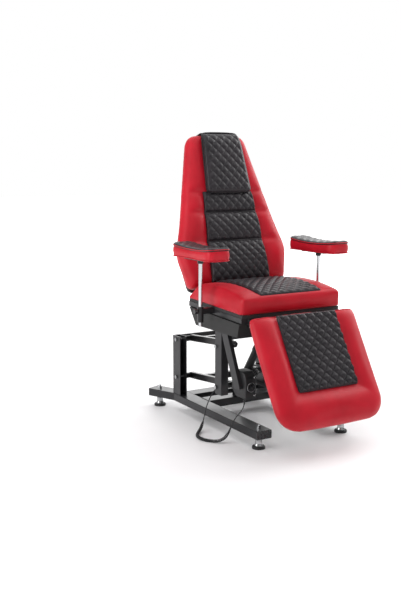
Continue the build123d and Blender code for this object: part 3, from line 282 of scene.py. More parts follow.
# Moulded plastic and rubber: a fine spark texture with a faint change of shade
mouldedLook = {"tintScale": 12.0, "wearScale": 80.0, "smoother": 0.06, "rougher": 0.10}


def mouldedMaterial(name, colour, shade, roughness, textureScale, depth):
    look = mouldedLook
    material, shader = startMaterial(name, colour, roughness)
    varyColour(shader, noiseOf(shader, look["tintScale"], 4),
               ((0.35, shade), (0.65, colour)))
    varyRoughness(shader, look["wearScale"], 4, roughness - look["smoother"],
                  roughness + look["rougher"])
    bumpOf(shader, cellsOf(shader, textureScale, "F1"), 0.3, depth)
    return material


# The boards are wrapped in thin black lining cloth
liningLook = {"roughness": 0.85, "threadScale": 330.0, "sheen": 0.2, "depth": 0.0004}


def liningMaterial(name, colour, shade):
    look = liningLook
    material, shader = startMaterial(name, colour, look["roughness"])
    weave = [linesOf(shader, look["threadScale"], 0.6, direction) for direction in ("X", "Z")]
    height = calculate(shader, "MULTIPLY", weave[0], weave[1])
    varyColour(shader, height, ((0.2, shade), (0.8, colour)))
    shader.inputs["Sheen Weight"].default_value = look["sheen"]
    bumpOf(shader, height, 0.4, look["depth"])
    return material


# One finish for each material slot of the record, and one more for the quilted covers
finishes = {
    "red_leather": leatherMaterial("redLeather", (0.54, 0.006, 0.020), (0.45, 0.004, 0.015), 0.42),
    "black_leather": leatherMaterial("blackLeather", (0.026, 0.023, 0.026),
                                     (0.018, 0.016, 0.018), 0.36),
    "frame_enamel": enamelMaterial("frameEnamel", (0.007, 0.007, 0.008), (0.022, 0.022, 0.024),
                                   0.30, 0.22),
    "trough_enamel": enamelMaterial("troughEnamel", (0.013, 0.012, 0.012),
                                    (0.026, 0.026, 0.026), 0.48, 0.04),
    "chrome": chromeMaterial("chromePlate", (0.52, 0.53, 0.54), 0.08),
    "steel_rod": turnedMaterial("groundSteel", (0.36, 0.36, 0.37), 0.24),
    "foot_rubber": mouldedMaterial("footRubber", (0.018, 0.018, 0.019), (0.012, 0.012, 0.012),
                                   0.55, 500.0, 0.0003),
    "case_plastic": mouldedMaterial("casePlastic", (0.012, 0.012, 0.013),
                                    (0.008, 0.008, 0.009), 0.48, 900.0, 0.0003),
    "gloss_plastic": mouldedMaterial("glossPlastic", (0.018, 0.018, 0.02),
                                     (0.014, 0.014, 0.016), 0.25, 600.0, 0.0001),
    "cord_rubber": mouldedMaterial("cordRubber", (0.016, 0.016, 0.018), (0.011, 0.011, 0.012),
                                   0.48, 800.0, 0.0002),
    "board_wood": liningMaterial("boardLining", (0.030, 0.029, 0.031), (0.016, 0.016, 0.017)),
}
quiltedLeather = quiltedMaterial("quiltedLeather", (0.028, 0.024, 0.028),
                                 (0.018, 0.016, 0.019), 0.36)
slotOfNode = {part["node"]: part["material_slot"] for part in frame["record"]["subparts"]}
for name, node in nodes.items():
    for slot in node.material_slots:
        slot.material = finishes[slotOfNode[name]]
print("materials ready")


def addObject(name, data):
    added = bpy.data.objects.new(name, data)
    scene.collection.objects.link(added)
    return added


# The camera stands where the photograph was taken from
cameraView = {"place": (-2.3994, -3.4447, 1.2873), "turn": 30.6, "down": 9.0, "lens": 51.27,
              "sensor": 36.0}


def addCamera(view):
    data = bpy.data.cameras.new("camera")
    data.sensor_fit = "VERTICAL"
    data.sensor_height = view["sensor"]
    data.lens = view["lens"]
    camera = addObject("camera", data)
    camera.location = view["place"]
    camera.rotation_euler = (radians(90 - view["down"]), 0, -radians(view["turn"]))
    scene.camera = camera


addCamera(cameraView)
print("camera set")


# Making and finishing pieces: the slot says which finish a piece has
def dress(piece, slot, body, sharp=None, material=None):
    data = piece.data
    data.materials.clear()
    data.materials.append(material or finishes[slot])
    if isinstance(data, bpy.types.Mesh):
        for face in data.polygons:
            face.use_smooth = True
    if sharp:
        data.set_sharp_from_angle(angle=radians(sharp))
    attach(piece, body)
    return piece


def makePiece(name, data, slot, body, sharp=None, material=None):
    return dress(addObject(name, data), slot, body, sharp, material)


def meshFrom(name, shape):
    mesh = bpy.data.meshes.new(name)
    shape.to_mesh(mesh)
    shape.free()
    return mesh


# A block between two rings of points
def blockBetween(rings):
    shape = bmesh.new()
    lower, upper = ([shape.verts.new(point) for point in ring] for ring in rings)
    shape.faces.new(lower[::-1])
    shape.faces.new(upper)
    for here in range(len(lower)):
        after = (here + 1) % len(lower)
        shape.faces.new((lower[here], lower[after], upper[after], upper[here]))
    return shape


def turnedMesh(name, profile, sides):
    shape = bmesh.new()
    rings = []
    for radius, height in profile:
        rings.append([shape.verts.new((radius * cos(2 * pi * side / sides),
                                       radius * sin(2 * pi * side / sides), height))
                      for side in range(sides)])
    for lower, upper in zip(rings, rings[1:] + rings[:1]):
        for here in range(sides):
            after = (here + 1) % sides
            shape.faces.new((lower[here], lower[after], upper[after], upper[here]))
    bmesh.ops.recalc_face_normals(shape, faces=shape.faces)
    return meshFrom(name, shape)


def turnedPiece(name, profile, place, slot, body, sides=48, sharp=35):
    mesh = turnedMesh(name, profile, sides)
    mesh.transform(place)
    return makePiece(name, mesh, slot, body, sharp)


def nurbsCurve(name, places, radius, smoothness, bevelSteps, closed=False):
    curve = bpy.data.curves.new(name, "CURVE")
    curve.dimensions = "3D"
    curve.resolution_u = smoothness
    curve.bevel_depth = radius
    curve.bevel_resolution = bevelSteps
    spline = curve.splines.new("NURBS")
    spline.points.add(len(places) - 1)
    for point, place in zip(spline.points, places):
        point.co = (*place, 1)
    spline.order_u = 3
    spline.use_cyclic_u = closed
    spline.use_endpoint_u = not closed
    return curve


def evaluatedMesh(piece):
    bpy.context.view_layer.update()
    graph = bpy.context.evaluated_depsgraph_get()
    return bpy.data.meshes.new_from_object(piece.evaluated_get(graph))


def bakeModifiers(piece):
    mesh = evaluatedMesh(piece)
    piece.modifiers.clear()
    old = piece.data
    piece.data = mesh
    bpy.data.meshes.remove(old)


def lineAlong(curve):
    carrier = addObject(curve.name, curve)
    line = [vertex.co.copy() for vertex in evaluatedMesh(carrier).vertices]
    bpy.data.objects.remove(carrier)
    return line


# How far a rounded corner draws an edge in, at this distance from the end
def cornerCut(fromEnd, corner):
    if fromEnd >= corner:
        return 0.0
    return corner - sqrt(max(0.0, corner ** 2 - (corner - fromEnd) ** 2))


def easeIn(value):
    value = max(0.0, min(1.0, value))
    return value * value * (3 - 2 * value)


# A stuffed cover: the solid's shape in the section's own axes, shrunk a little and blown
# up by cloth under pressure. Its rear and the bed of its quilted panel are held, and what
# swells out is kept to a cap
stuffing = {
    "voxel": 0.0095, "shrink": 0.0035, "frames": 12, "cap": 0.015, "sag": 0.0015, "slip": 0.35,
    "heldDepth": 0.014, "smoothing": 4, "settling": 3, "fill": 0.8,
    "cloth": {"quality": 4, "mass": 0.3, "tension_stiffness": 18, "compression_stiffness": 18,
              "shear_stiffness": 10, "bending_stiffness": 1.0, "use_pressure": True,
              "uniform_pressure_force": 5.0, "vertex_group_mass": "held"},
}


def blowUp(piece, values, isHeld):
    mesh = piece.data
    start = [(vertex.co.copy(), vertex.normal.copy()) for vertex in mesh.vertices]
    low = min(vertex.co.z for vertex in mesh.vertices)
    group = piece.vertex_groups.new(name="held")
    group.add([vertex.index for vertex in mesh.vertices
               if vertex.co.z < low + values["heldDepth"] or isHeld(*vertex.co)], 1.0, "REPLACE")
    cloth = piece.modifiers.new("cloth", "CLOTH")
    for setting, value in values["cloth"].items():
        setattr(cloth.settings, setting, value)
    cloth.settings.effector_weights.gravity = 0
    cloth.collision_settings.use_collision = False
    for step in range(1, values["frames"] + 1):
        scene.frame_set(step)
    bakeModifiers(piece)
    scene.frame_set(1)
    for vertex, (origin, outward) in zip(piece.data.vertices, start):
        travel = vertex.co - origin
        swell = travel.dot(outward)
        slide = travel - outward * swell
        vertex.co = (origin + outward * max(-values["sag"], min(values["cap"], swell))
                     + slide * values["slip"])


def smoothMesh(mesh, rounds, factor=0.5):
    shape = bmesh.new()
    shape.from_mesh(mesh)
    for step in range(rounds):
        bmesh.ops.smooth_vert(shape, verts=shape.verts, factor=factor, use_axis_x=True,
                              use_axis_y=True, use_axis_z=True)
    shape.to_mesh(mesh)
    shape.free()


def stuffedCover(name, node, place, body, isHeld, changes=None, values=stuffing):
    mesh = nodes[node].data.copy()
    mesh.transform(place.inverted())
    piece = addObject(name, mesh)
    remesh = piece.modifiers.new("shell", "REMESH")
    remesh.mode = "VOXEL"
    remesh.voxel_size = values["voxel"]
    bakeModifiers(piece)
    mesh = piece.data
    smoothMesh(mesh, values["smoothing"])
    low = min(vertex.co.z for vertex in mesh.vertices)
    for vertex in mesh.vertices:
        if vertex.co.z > low + values["heldDepth"]:
            vertex.co -= vertex.normal * values["shrink"]
    blowUp(piece, values, isHeld)
    piece.vertex_groups.clear()
    smoothMesh(piece.data, values["settling"])
    finer = piece.modifiers.new("finer", "SUBSURF")
    finer.levels = 1
    bakeModifiers(piece)
    if changes:
        changes(piece.data)
    piece.data.transform(place)
    dress(piece, "red_leather", body)
    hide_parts(node)
    print("stuffed", name, len(piece.data.vertices), "vertices")
    return piece


# Points brought onto a piece's surface, and lifted off it by a little
def layOn(piece, places, lift):
    tree = BVHTree.FromObject(piece, bpy.context.evaluated_depsgraph_get())
    laid = []
    for place in places:
        spot, normal, face, away = tree.find_nearest(place)
        laid.append(spot + normal * lift)
    return laid


# The bed under a quilted panel: within a half width, above a low end and a height
def flatBed(half, low, height):
    return lambda x, y, z: abs(x) < half and y > low and z > height


# A dent or a pull in a cover, as a soft round hollow in the section's own axes
def press(mesh, spots):
    for vertex in mesh.vertices:
        for (x, y), (reachX, reachY), depth in spots:
            away = ((abs(vertex.co.x) - x) / reachX) ** 2 + ((vertex.co.y - y) / reachY) ** 2
            if away < 6:
                vertex.co.z -= depth * exp(-away)


def drawCorners(mesh, spots):
    for vertex in mesh.vertices:
        for (x, y), reach, (across, along) in spots:
            away = ((abs(vertex.co.x) - x) ** 2 + (vertex.co.y - y) ** 2) / reach ** 2
            if away < 6:
                pull = exp(-away)
                vertex.co.x += across * pull * (1 if vertex.co.x > 0 else -1)
                vertex.co.y += along * pull


# Pushes the sides of a cover outwards as a soft belly round the given height
def fillSides(mesh, belly):
    for vertex in mesh.vertices:
        share = exp(-(((vertex.co.z - belly["middle"]) / belly["reach"]) ** 2))
        side = easeIn((abs(vertex.co.x) - belly["beyond"]) / belly["ease"])
        end = easeIn((belly["below"] - vertex.co.y) / belly["ease"])
        vertex.co.x += belly["across"] * share * side * (1 if vertex.co.x > 0 else -1)
        vertex.co.y -= belly["along"] * share * end


# Diamond quilting. A panel is a fine grid between two long edges, with a puff in each
# diamond, edges tucked into the seam, and a skirt and a floor that close it
quilting = {"width": 0.048, "height": 0.053, "cell": 0.0026, "ease": 0.008, "fill": 0.7}


def quiltedPanel(name, place, body, shape, node=None):
    low, high = shape["low"], shape["high"]
    edges, surface = shape["edges"], shape["surface"]
    rows = ceil((high - low) / quilting["cell"])
    middle = (low + high) / 2
    columns = ceil(2 * max(edges(y)[1] for y in (low, middle, high)) / quilting["cell"])
    grid = bmesh.new()
    layer = grid.loops.layers.uv.new("quilt")
    lattice, table = {}, []
    for row in range(rows + 1):
        y = low + (high - low) * row / rows
        left, right = edges(y)
        line = []
        for column in range(columns + 1):
            x = left + (right - left) * column / columns
            first = x / quilting["width"] + (y - middle) / quilting["height"]
            second = x / quilting["width"] - (y - middle) / quilting["height"]
            puff = (abs(sin(pi * first)) * abs(sin(pi * second))) ** shape["sharpness"]
            fromEdge = min(x - left, right - x, y - low, high - y)
            tuck = 1 - sqrt(max(0.0, 1 - (1 - min(1, fromEdge / shape["roll"])) ** 2))
            border = easeIn((fromEdge - shape["border"]) / quilting["ease"])
            z = surface(x, y) + shape["puff"] * puff * border - shape["tuck"] * tuck
            vertex = grid.verts.new((x, y, z))
            lattice[vertex] = (first, second)
            line.append(vertex)
        table.append(line)
    for lower, upper in zip(table, table[1:]):
        for corners in zip(lower, lower[1:], upper[1:], upper):
            grid.faces.new(corners)
    rim = (table[0] + [line[-1] for line in table[1:]] + table[-1][-2::-1]
           + [line[0] for line in table[-2:0:-1]])
    floor = []
    for vertex in rim:
        x, y = vertex.co.x, vertex.co.y
        under = grid.verts.new((x, y, shape["floor"](x, y)))
        lattice[under] = lattice[vertex]
        floor.append(under)
    for here in range(len(rim)):
        after = (here + 1) % len(rim)
        grid.faces.new((rim[here], floor[here], floor[after], rim[after]))
    grid.faces.new(floor[::-1])
    bmesh.ops.triangulate(grid, faces=[face for face in grid.faces if len(face.verts) > 4])
    for face in grid.faces:
        for loop in face.loops:
            loop[layer].uv = lattice[loop.vert]
    mesh = meshFrom(name, grid)
    mesh.transform(place)
    piece = makePiece(name, mesh, "black_leather", body, material=quiltedLeather)
    if node:
        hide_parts(node)
    print("quilted", name, len(mesh.vertices), "vertices")
    return piece


# A welt: a thin covered cord sewn into a seam
def addWelt(name, places, radius, slot, body, closed=True):
    makePiece(name, nurbsCurve(name, places, radius, 3, 2, closed), slot, body)


# A panel's outline, drawn in by an inset: up its right edge and down its left one
def outlineOf(shape, inset, step=0.012):
    low, high = shape["low"] + inset, shape["high"] - inset
    rows = ceil((high - low) / step)
    heights = [low + (high - low) * row / rows for row in range(rows + 1)]
    return ([(shape["edges"](y)[1] - inset, y) for y in heights]
            + [(shape["edges"](y)[0] + inset, y) for y in reversed(heights)])


leftAndRight = (("Left", -1), ("Right", 1))


# A welt along a panel's outline, at the height that the function gives
def outlineWelt(name, place, shape, inset, height, radius, slot, body):
    addWelt(name, [place @ Vector((x, y, height(x, y))) for x, y in outlineOf(shape, inset)],
            radius, slot, body)


# Seat
seatLook = {
    "shoulder": 0.024, "crownAlong": 0.215, "rearAlong": 0.418, "frontRise": 0.092,
    "crownRise": 0.108, "rearRise": 0.084, "noseReach": 0.0285, "noseDrop": 0.010,
    "panelHalf": 0.1765, "panelLow": 0.013, "panelHigh": 0.4165, "panelSwell": 0.0015,
    "sink": 0.0115, "bed": (0.1805, 0.010, 0.060),
    "belly": {"middle": 0.006, "reach": 0.022, "across": 0.004, "along": 0.001,
              "beyond": 0.240, "below": 0.040, "ease": 0.05},
    "corners": (((0.284, 0.480), 0.055, (0.004, 0.010)),
                ((0.284, 0.0), 0.030, (0.005, -0.005))),
}


# The height of an arc through three places, worked out as a parabola
def threePointRise(along, places):
    (x1, z1), (x2, z2), (x3, z3) = places
    return (z1 * (along - x2) * (along - x3) / ((x1 - x2) * (x1 - x3))
            + z2 * (along - x1) * (along - x3) / ((x2 - x1) * (x2 - x3))
            + z3 * (along - x1) * (along - x2) / ((x3 - x1) * (x3 - x2)))


def seatTop(along):
    look = seatLook
    over = max(0.0, look["shoulder"] - along) / look["noseReach"]
    places = ((look["shoulder"], look["frontRise"]), (look["crownAlong"], look["crownRise"]),
              (look["rearAlong"], look["rearRise"]))
    return -look["noseDrop"] * over * over + threePointRise(along, places)


def fillSeat(mesh):
    fillSides(mesh, seatLook["belly"])
    drawCorners(mesh, seatLook["corners"])


stuffedCover("seatCushion", "seat_cushion", seatPlace, "carriage", flatBed(*seatLook["bed"]),
             fillSeat)
seatPanelShape = {
    "low": seatLook["panelLow"], "high": seatLook["panelHigh"],
    "edges": lambda y: (-seatLook["panelHalf"], seatLook["panelHalf"]),
    "surface": lambda x, y: seatTop(y) + seatLook["panelSwell"],
    "floor": lambda x, y: seatTop(y) - seatLook["sink"],
    "roll": 0.010, "tuck": 0.0085, "border": 0.002, "puff": 0.0062, "sharpness": 0.50,
}
quiltedPanel("seatPanel", seatPlace, "carriage", seatPanelShape, "seat_panel")
print("seat dressed")


# Back rest
backLook = {
    "cushionRear": 0.008, "thickness": 0.097, "sink": 0.0126, "gap": 0.001,
    "rollBounds": (0.076, 0.290, 0.440, 0.548), "rollHalves": (0.176, 0.167, 0.157, 0.149),
    "rollSwells": (0.029, 0.026, 0.022), "rollRound": 0.93, "rollFall": 0.16,
    "rollInset": 0.001, "rollBase": 0.002, "rollSet": 0.003, "bedMargin": 0.003,
    "pillowMargin": 0.010, "beside": 0.03, "pull": ((0.042, 0.018), 0.009), "bulgeBelow": 0.07,
    "bulge": ((0.055, 0.045), -0.003), "corners": (((0.312, 0.235), 0.110, (0.010, 0.0)),),
}
backFront = backLook["cushionRear"] + backLook["thickness"]
pillowLook = {"low": 0.538, "high": 0.861, "lowHalf": 0.130, "highHalf": 0.108,
              "thickness": 0.042, "corner": 0.018, "seam": 0.013, "crown": 0.008, "lift": 0.0006,
              "welt": 0.0030, "frontWeltDown": 0.010, "rearWeltUp": 0.0035, "fall": 0.085,
              "drop": 0.038}


# The sides are drawn in beside the seams between the rolls and swell a little below them
def pullBackSides(mesh):
    look = backLook
    spots = []
    for up, half in zip(look["rollBounds"][1:], look["rollHalves"][1:]):
        spots.append(((half + look["beside"], up), *look["pull"]))
        spots.append(((half + look["beside"], up - look["bulgeBelow"]), *look["bulge"]))
    press(mesh, spots)
    drawCorners(mesh, look["corners"])


# The bed of the rolls, and the place where the head pillow lies
def inBackBed(x, y, z):
    look = backLook
    if z < look["thickness"] / 2:
        return False
    share = (y - look["rollBounds"][0]) / (look["rollBounds"][3] - look["rollBounds"][0])
    half = look["rollHalves"][0] + (look["rollHalves"][3] - look["rollHalves"][0]) * share
    if y > look["rollBounds"][3]:
        half = pillowLook["lowHalf"] - look["pillowMargin"]
    return abs(x) < half + look["bedMargin"]


stuffedCover("backCushion", "back_cushion", backPlace, "backrest", inBackBed, pullBackSides)


def rollShape(number):
    look = backLook
    low = look["rollBounds"][number] + look["gap"]
    high = look["rollBounds"][number + 1] - look["gap"]
    wide, narrow = look["rollHalves"][number], look["rollHalves"][number + 1]
    base = backFront - look["sink"]
    swell = look["rollSwells"][number]

    def edges(y):
        half = wide + (narrow - wide) * (y - low) / (high - low) - look["rollInset"]
        return -half, half

    def surface(x, y):
        share = 2 * (y - low) / (high - low) - 1
        belly = sqrt(max(0.0, 1 - look["rollRound"] * share * share))
        ends = 1 - look["rollFall"] * (abs(x) / edges(y)[1]) ** 6
        return base + look["rollBase"] + (swell - look["rollSet"]) * belly * ends

    return {"low": low, "high": high, "edges": edges, "surface": surface,
            "floor": lambda x, y: base, "roll": 0.012, "tuck": 0.006, "border": 0.001,
            "puff": 0.0062, "sharpness": 0.50}


for number, name in enumerate(("Lower", "Middle", "Upper")):
    quiltedPanel("backRoll" + name, backPlace, "backrest", rollShape(number),
                 "back_roll_" + name.lower())


# A black backing lines the bed, so that the seams between the rolls are dark
backingLook = {"thickness": 0.0065, "behind": 0.0006, "within": 0.0008}


def addBacking(look):
    rear = backFront - backLook["sink"] - look["behind"]
    corners = [(half - look["within"], up)
               for half, up in zip(backLook["rollHalves"], backLook["rollBounds"])]
    corners += [(-half, up) for half, up in reversed(corners)]
    rings = [[(x, up, rear + step) for x, up in corners] for step in (0.0, look["thickness"])]
    mesh = meshFrom("rollBacking", blockBetween(rings))
    mesh.transform(backPlace)
    makePiece("rollBacking", mesh, "black_leather", "backrest")


addBacking(backingLook)


def pillowEdges(y):
    look = pillowLook
    share = (y - look["low"]) / (look["high"] - look["low"])
    half = look["lowHalf"] + (look["highHalf"] - look["lowHalf"]) * share
    half -= cornerCut(min(y - look["low"], look["high"] - y), look["corner"])
    return -half, half


def pillowTop(x, y):
    look = pillowLook
    share = 2 * (y - look["low"]) / (look["high"] - look["low"]) - 1
    crown = (1 - share ** 4) * (1 - (x / look["lowHalf"]) ** 4)
    over = max(0.0, (y - look["high"] + look["fall"]) / look["fall"])
    return (backFront + look["thickness"] - look["seam"] + look["crown"] * crown
            - look["drop"] * (1 - sqrt(max(0.0, 1 - over * over))))


pillowShape = {
    "low": pillowLook["low"], "high": pillowLook["high"], "edges": pillowEdges,
    "surface": pillowTop, "floor": lambda x, y: backFront + pillowLook["lift"], "roll": 0.014,
    "tuck": 0.010, "border": 0.010, "puff": 0.0060, "sharpness": 0.50,
}
quiltedPanel("headPillow", backPlace, "backrest", pillowShape, "head_pillow")
pillowWelts = {"Front": lambda x, y: pillowTop(x, y) - pillowLook["frontWeltDown"],
               "Rear": lambda x, y: backFront + pillowLook["rearWeltUp"]}
for name, height in pillowWelts.items():
    outlineWelt("headPillow" + name + "Welt", backPlace, pillowShape, 0.0, height,
                pillowLook["welt"], "black_leather", "backrest")


# The flap that hangs the pillow over the top of the back rest
flapLook = {"half": 0.100, "thickness": 0.003, "columns": 24, "narrowing": 0.06,
            "path": ((0.850, 0.104), (0.8605, 0.099), (0.8650, 0.080), (0.8655, 0.045),
                     (0.8645, 0.004), (0.852, -0.0135), (0.800, -0.0145), (0.740, -0.0140))}


def addFlap(look):
    path = [(0, up, out) for up, out in look["path"]]
    line = lineAlong(nurbsCurve("flapPath", path, 0, 6, 0))
    cloth = bmesh.new()
    columns = look["columns"]
    rows = []
    for number, place in enumerate(line):
        before, after = line[max(0, number - 1)], line[min(len(line) - 1, number + 1)]
        along = (after - before).normalized()
        outward = Vector((1, 0, 0)).cross(along)
        row = []
        for side in (0, 1):
            for column in range(columns + 1):
                narrow = 1 - look["narrowing"] * number / len(line)
                x = look["half"] * (2 * column / columns - 1) * narrow
                row.append(cloth.verts.new(place + Vector((x, 0, 0))
                                           + outward * look["thickness"] * (side - 0.5)))
        rows.append(row)
    for lower, upper in zip(rows, rows[1:]):
        for start in (0, columns + 1):
            for column in range(start, start + columns):
                cloth.faces.new((lower[column], lower[column + 1], upper[column + 1],
                                 upper[column]))
        for one, two in ((0, columns + 1), (columns, 2 * columns + 1)):
            cloth.faces.new((lower[one], lower[two], upper[two], upper[one]))
    for row in (rows[0], rows[-1]):
        for column in range(columns):
            cloth.faces.new((row[column], row[column + 1], row[column + columns + 2],
                             row[column + columns + 1]))
    bmesh.ops.recalc_face_normals(cloth, faces=cloth.faces)
    mesh = meshFrom("headPillowFlap", cloth)
    mesh.transform(backPlace)
    makePiece("headPillowFlap", mesh, "black_leather", "backrest")


addFlap(flapLook)
print("back rest dressed")


# Leg rest
legLook = {"cushionRear": 0.027, "thickness": 0.084, "above": 0.010, "panelLength": 0.376,
           "panelHalf": 0.170, "corner": 0.014, "within": 0.0006, "panelTop": 0.0005,
           "sink": 0.0116, "set": 0.0082, "crease": 0.009, "creaseReach": 0.030,
           "creaseDepth": 0.030, "bed": (0.173, -0.3684, 0.07),
           "belly": {"middle": 0.072, "reach": 0.030, "across": 0.010, "along": 0.007,
                     "beyond": 0.235, "below": -0.455, "ease": 0.05},
           "corners": (((0.282, 0.004), 0.026, (0.008, 0.007)),)}
legFront = legLook["cushionRear"] + legLook["thickness"]
legFoot = legLook["above"] - legLook["panelLength"]


def legEdges(y):
    look = legLook
    half = look["panelHalf"] - look["within"] - cornerCut(y - legFoot, look["corner"])
    return -half, half


legPanelShape = {
    "low": legFoot + legLook["within"], "high": legLook["panelTop"], "edges": legEdges,
    "surface": lambda x, y: legFront - legLook["set"],
    "floor": lambda x, y: legFront - legLook["sink"],
    "roll": 0.010, "tuck": 0.0035, "border": 0.001, "puff": 0.0125, "sharpness": 0.52,
}


# The red border is a soft bolster that falls away towards the quilted panel
def creaseLeg(mesh):
    look = legLook
    fillSides(mesh, look["belly"])
    drawCorners(mesh, look["corners"])
    for vertex in mesh.vertices:
        if vertex.co.z >= legFront - look["creaseDepth"]:
            beside = max(abs(vertex.co.x) - look["panelHalf"],
                         legPanelShape["low"] - vertex.co.y, 0.0)
            vertex.co.z -= look["crease"] * exp(-((beside / look["creaseReach"]) ** 2))


legCushion = stuffedCover("legCushion", "leg_cushion", legPlace, "legrest",
                          flatBed(*legLook["bed"]), creaseLeg)
quiltedPanel("legPanel", legPlace, "legrest", legPanelShape, "leg_panel")


# Piping runs along the upper edge of the leg rest, just in front of the seat's nose
pipingLook = {"radius": 0.0022, "half": 0.268, "above": 0.0085, "out": -0.016, "drop": 0.012,
              "steps": 20, "proud": 0.4}


def addPiping(look):
    places = []
    for step in range(2 * look["steps"] + 1):
        share = step / look["steps"] - 1
        places.append(legPlace @ Vector((look["half"] * share,
                                         look["above"] - look["drop"] * share ** 8,
                                         legFront + look["out"])))
    addWelt("legTopPiping", layOn(legCushion, places, look["radius"] * look["proud"]),
            look["radius"], "red_leather", "legrest", closed=False)


addPiping(pipingLook)
print("leg rest dressed")


# Arm pads, one each side of the seat on their rods
padLook = {"side": 0.352, "along": 0.018, "base": 0.850, "thickness": 0.062, "half": 0.065,
           "front": 0.186, "rear": 0.188, "corner": 0.040, "waist": 0.009, "waistReach": 0.12,
           "inset": 0.005, "saddle": 0.013, "level": 0.75, "lean": 0.002, "topSwell": 0.0030,
           "sink": 0.012, "bed": (0.051, -1.0, 0.042), "welt": 0.0022,
           "topWelt": (0.0055, -0.0012), "footWelt": (0.0040, -0.0022)}
padStuffing = dict(stuffing, shrink=0.002, voxel=0.0065, cap=0.006, heldDepth=0.008, smoothing=5)
padTop = padLook["thickness"]


# The top sags towards the middle like a saddle and leans up to the rear
def padSaddle(y):
    share = y / padLook["rear"]
    return padLook["saddle"] * (share * share - padLook["level"]) + padLook["lean"] * share


def padEdges(side):
    look = padLook

    def edges(y):
        inner = look["half"] - look["inset"]
        outer = (look["half"] - look["waist"] * exp(-((y / look["waistReach"]) ** 2))
                 - look["inset"])
        fromEnd = min(y + look["front"], look["rear"] - y) - look["inset"]
        cut = cornerCut(fromEnd, look["corner"] - look["inset"])
        left, right = (outer, inner) if side < 0 else (inner, outer)
        return -left + cut, right - cut

    return edges


def sagTop(mesh):
    for vertex in mesh.vertices:
        vertex.co.z += padSaddle(vertex.co.y) * easeIn(vertex.co.z / padTop)


def addArmPad(name, side, look):
    place = Matrix.Translation((side * look["side"], look["along"], look["base"]))
    body = "arm_rest_" + name.lower()
    stuffedCover("armPad" + name, "arm_pad_" + name.lower(), place, body,
                 flatBed(*look["bed"]), sagTop, padStuffing)
    shape = {
        "low": look["inset"] - look["front"], "high": look["rear"] - look["inset"],
        "edges": padEdges(side),
        "surface": lambda x, y: padTop + look["topSwell"] + padSaddle(y),
        "floor": lambda x, y: padTop - look["sink"] + padSaddle(y),
        "roll": 0.016, "tuck": 0.008, "border": 0.006, "puff": 0.0030, "sharpness": 0.55,
    }
    quiltedPanel("armPadTop" + name, place, body, shape)
    down, topInset = look["topWelt"]
    up, footInset = look["footWelt"]
    outlineWelt("armPadWelt" + name, place, shape, topInset,
                lambda x, y: padTop - down + padSaddle(y), look["welt"], "red_leather", body)
    outlineWelt("armPadFootWelt" + name, place, shape, footInset, lambda x, y: up,
                look["welt"], "red_leather", body)


for sideName, side in leftAndRight:
    addArmPad(sideName, side, padLook)
print("arm pads dressed")


# Turned chrome cups stand round the studs, between the beams and the rubber feet
cupLook = {"places": ((-0.242, -0.322), (0.242, -0.322), (-0.2954, 0.5439), (0.2954, 0.5439)),
           "profile": ((0.0062, 0.0445), (0.0150, 0.0445), (0.0160, 0.0435), (0.0162, 0.0400),
                       (0.0156, 0.0390), (0.0156, 0.0300), (0.0164, 0.0240), (0.0180, 0.0190),
                       (0.0196, 0.0160), (0.0200, 0.0136), (0.0062, 0.0136))}
for number, (x, y) in enumerate(cupLook["places"], 1):
    turnedPiece(f"footCup{number}", cupLook["profile"], Matrix.Translation((x, y, 0)),
                "chrome", "base", sides=40)


# The control box: a moulded case with an arched top and a cut away heel, a round cover
# in a steel ring and two cap screws
boxLook = {
    "left": -0.2718, "right": -0.2122, "front": -0.2556, "rear": -0.1362, "foot": 0.2152,
    "top": 0.3428, "shoulder": 0.040, "heel": 0.034, "round": 0.005, "steps": 10,
    "coverHeight": 0.272, "screws": ((-0.2225, 0.3180), (-0.2225, 0.2330)),
    "coverProfile": ((0.0005, -0.002), (0.0205, -0.002), (0.0205, 0.0030), (0.0190, 0.0045),
                     (0.0160, 0.0045), (0.0145, 0.0025), (0.009225, 0.0025), (0.0082, 0.0045),
                     (0.0005, 0.0050)),
    "ringProfile": ((0.0205, 0.0005), (0.0227, 0.0005), (0.0227, 0.0036), (0.0219, 0.0046),
                    (0.0205, 0.0046)),
    "screwProfile": ((0.0003, -0.001), (0.0058, -0.001), (0.0058, 0.0012), (0.0042, 0.0022),
                     (0.0042, 0.0052), (0.0034, 0.0062), (0.0018, 0.0062), (0.0015, 0.0040),
                     (0.0003, 0.0040)),
}


def archOutline(look):
    reach, points = look["shoulder"], []
    for y, turn in ((look["rear"] - reach, 0.0), (look["front"] + reach, pi / 2)):
        for step in range(look["steps"] + 1):
            angle = turn + pi / 2 * step / look["steps"]
            points.append((y + reach * cos(angle), look["top"] - reach + reach * sin(angle)))
    points += [(look["front"], look["foot"]), (look["rear"] - look["heel"], look["foot"]),
               (look["rear"], look["foot"] + look["heel"])]
    return points


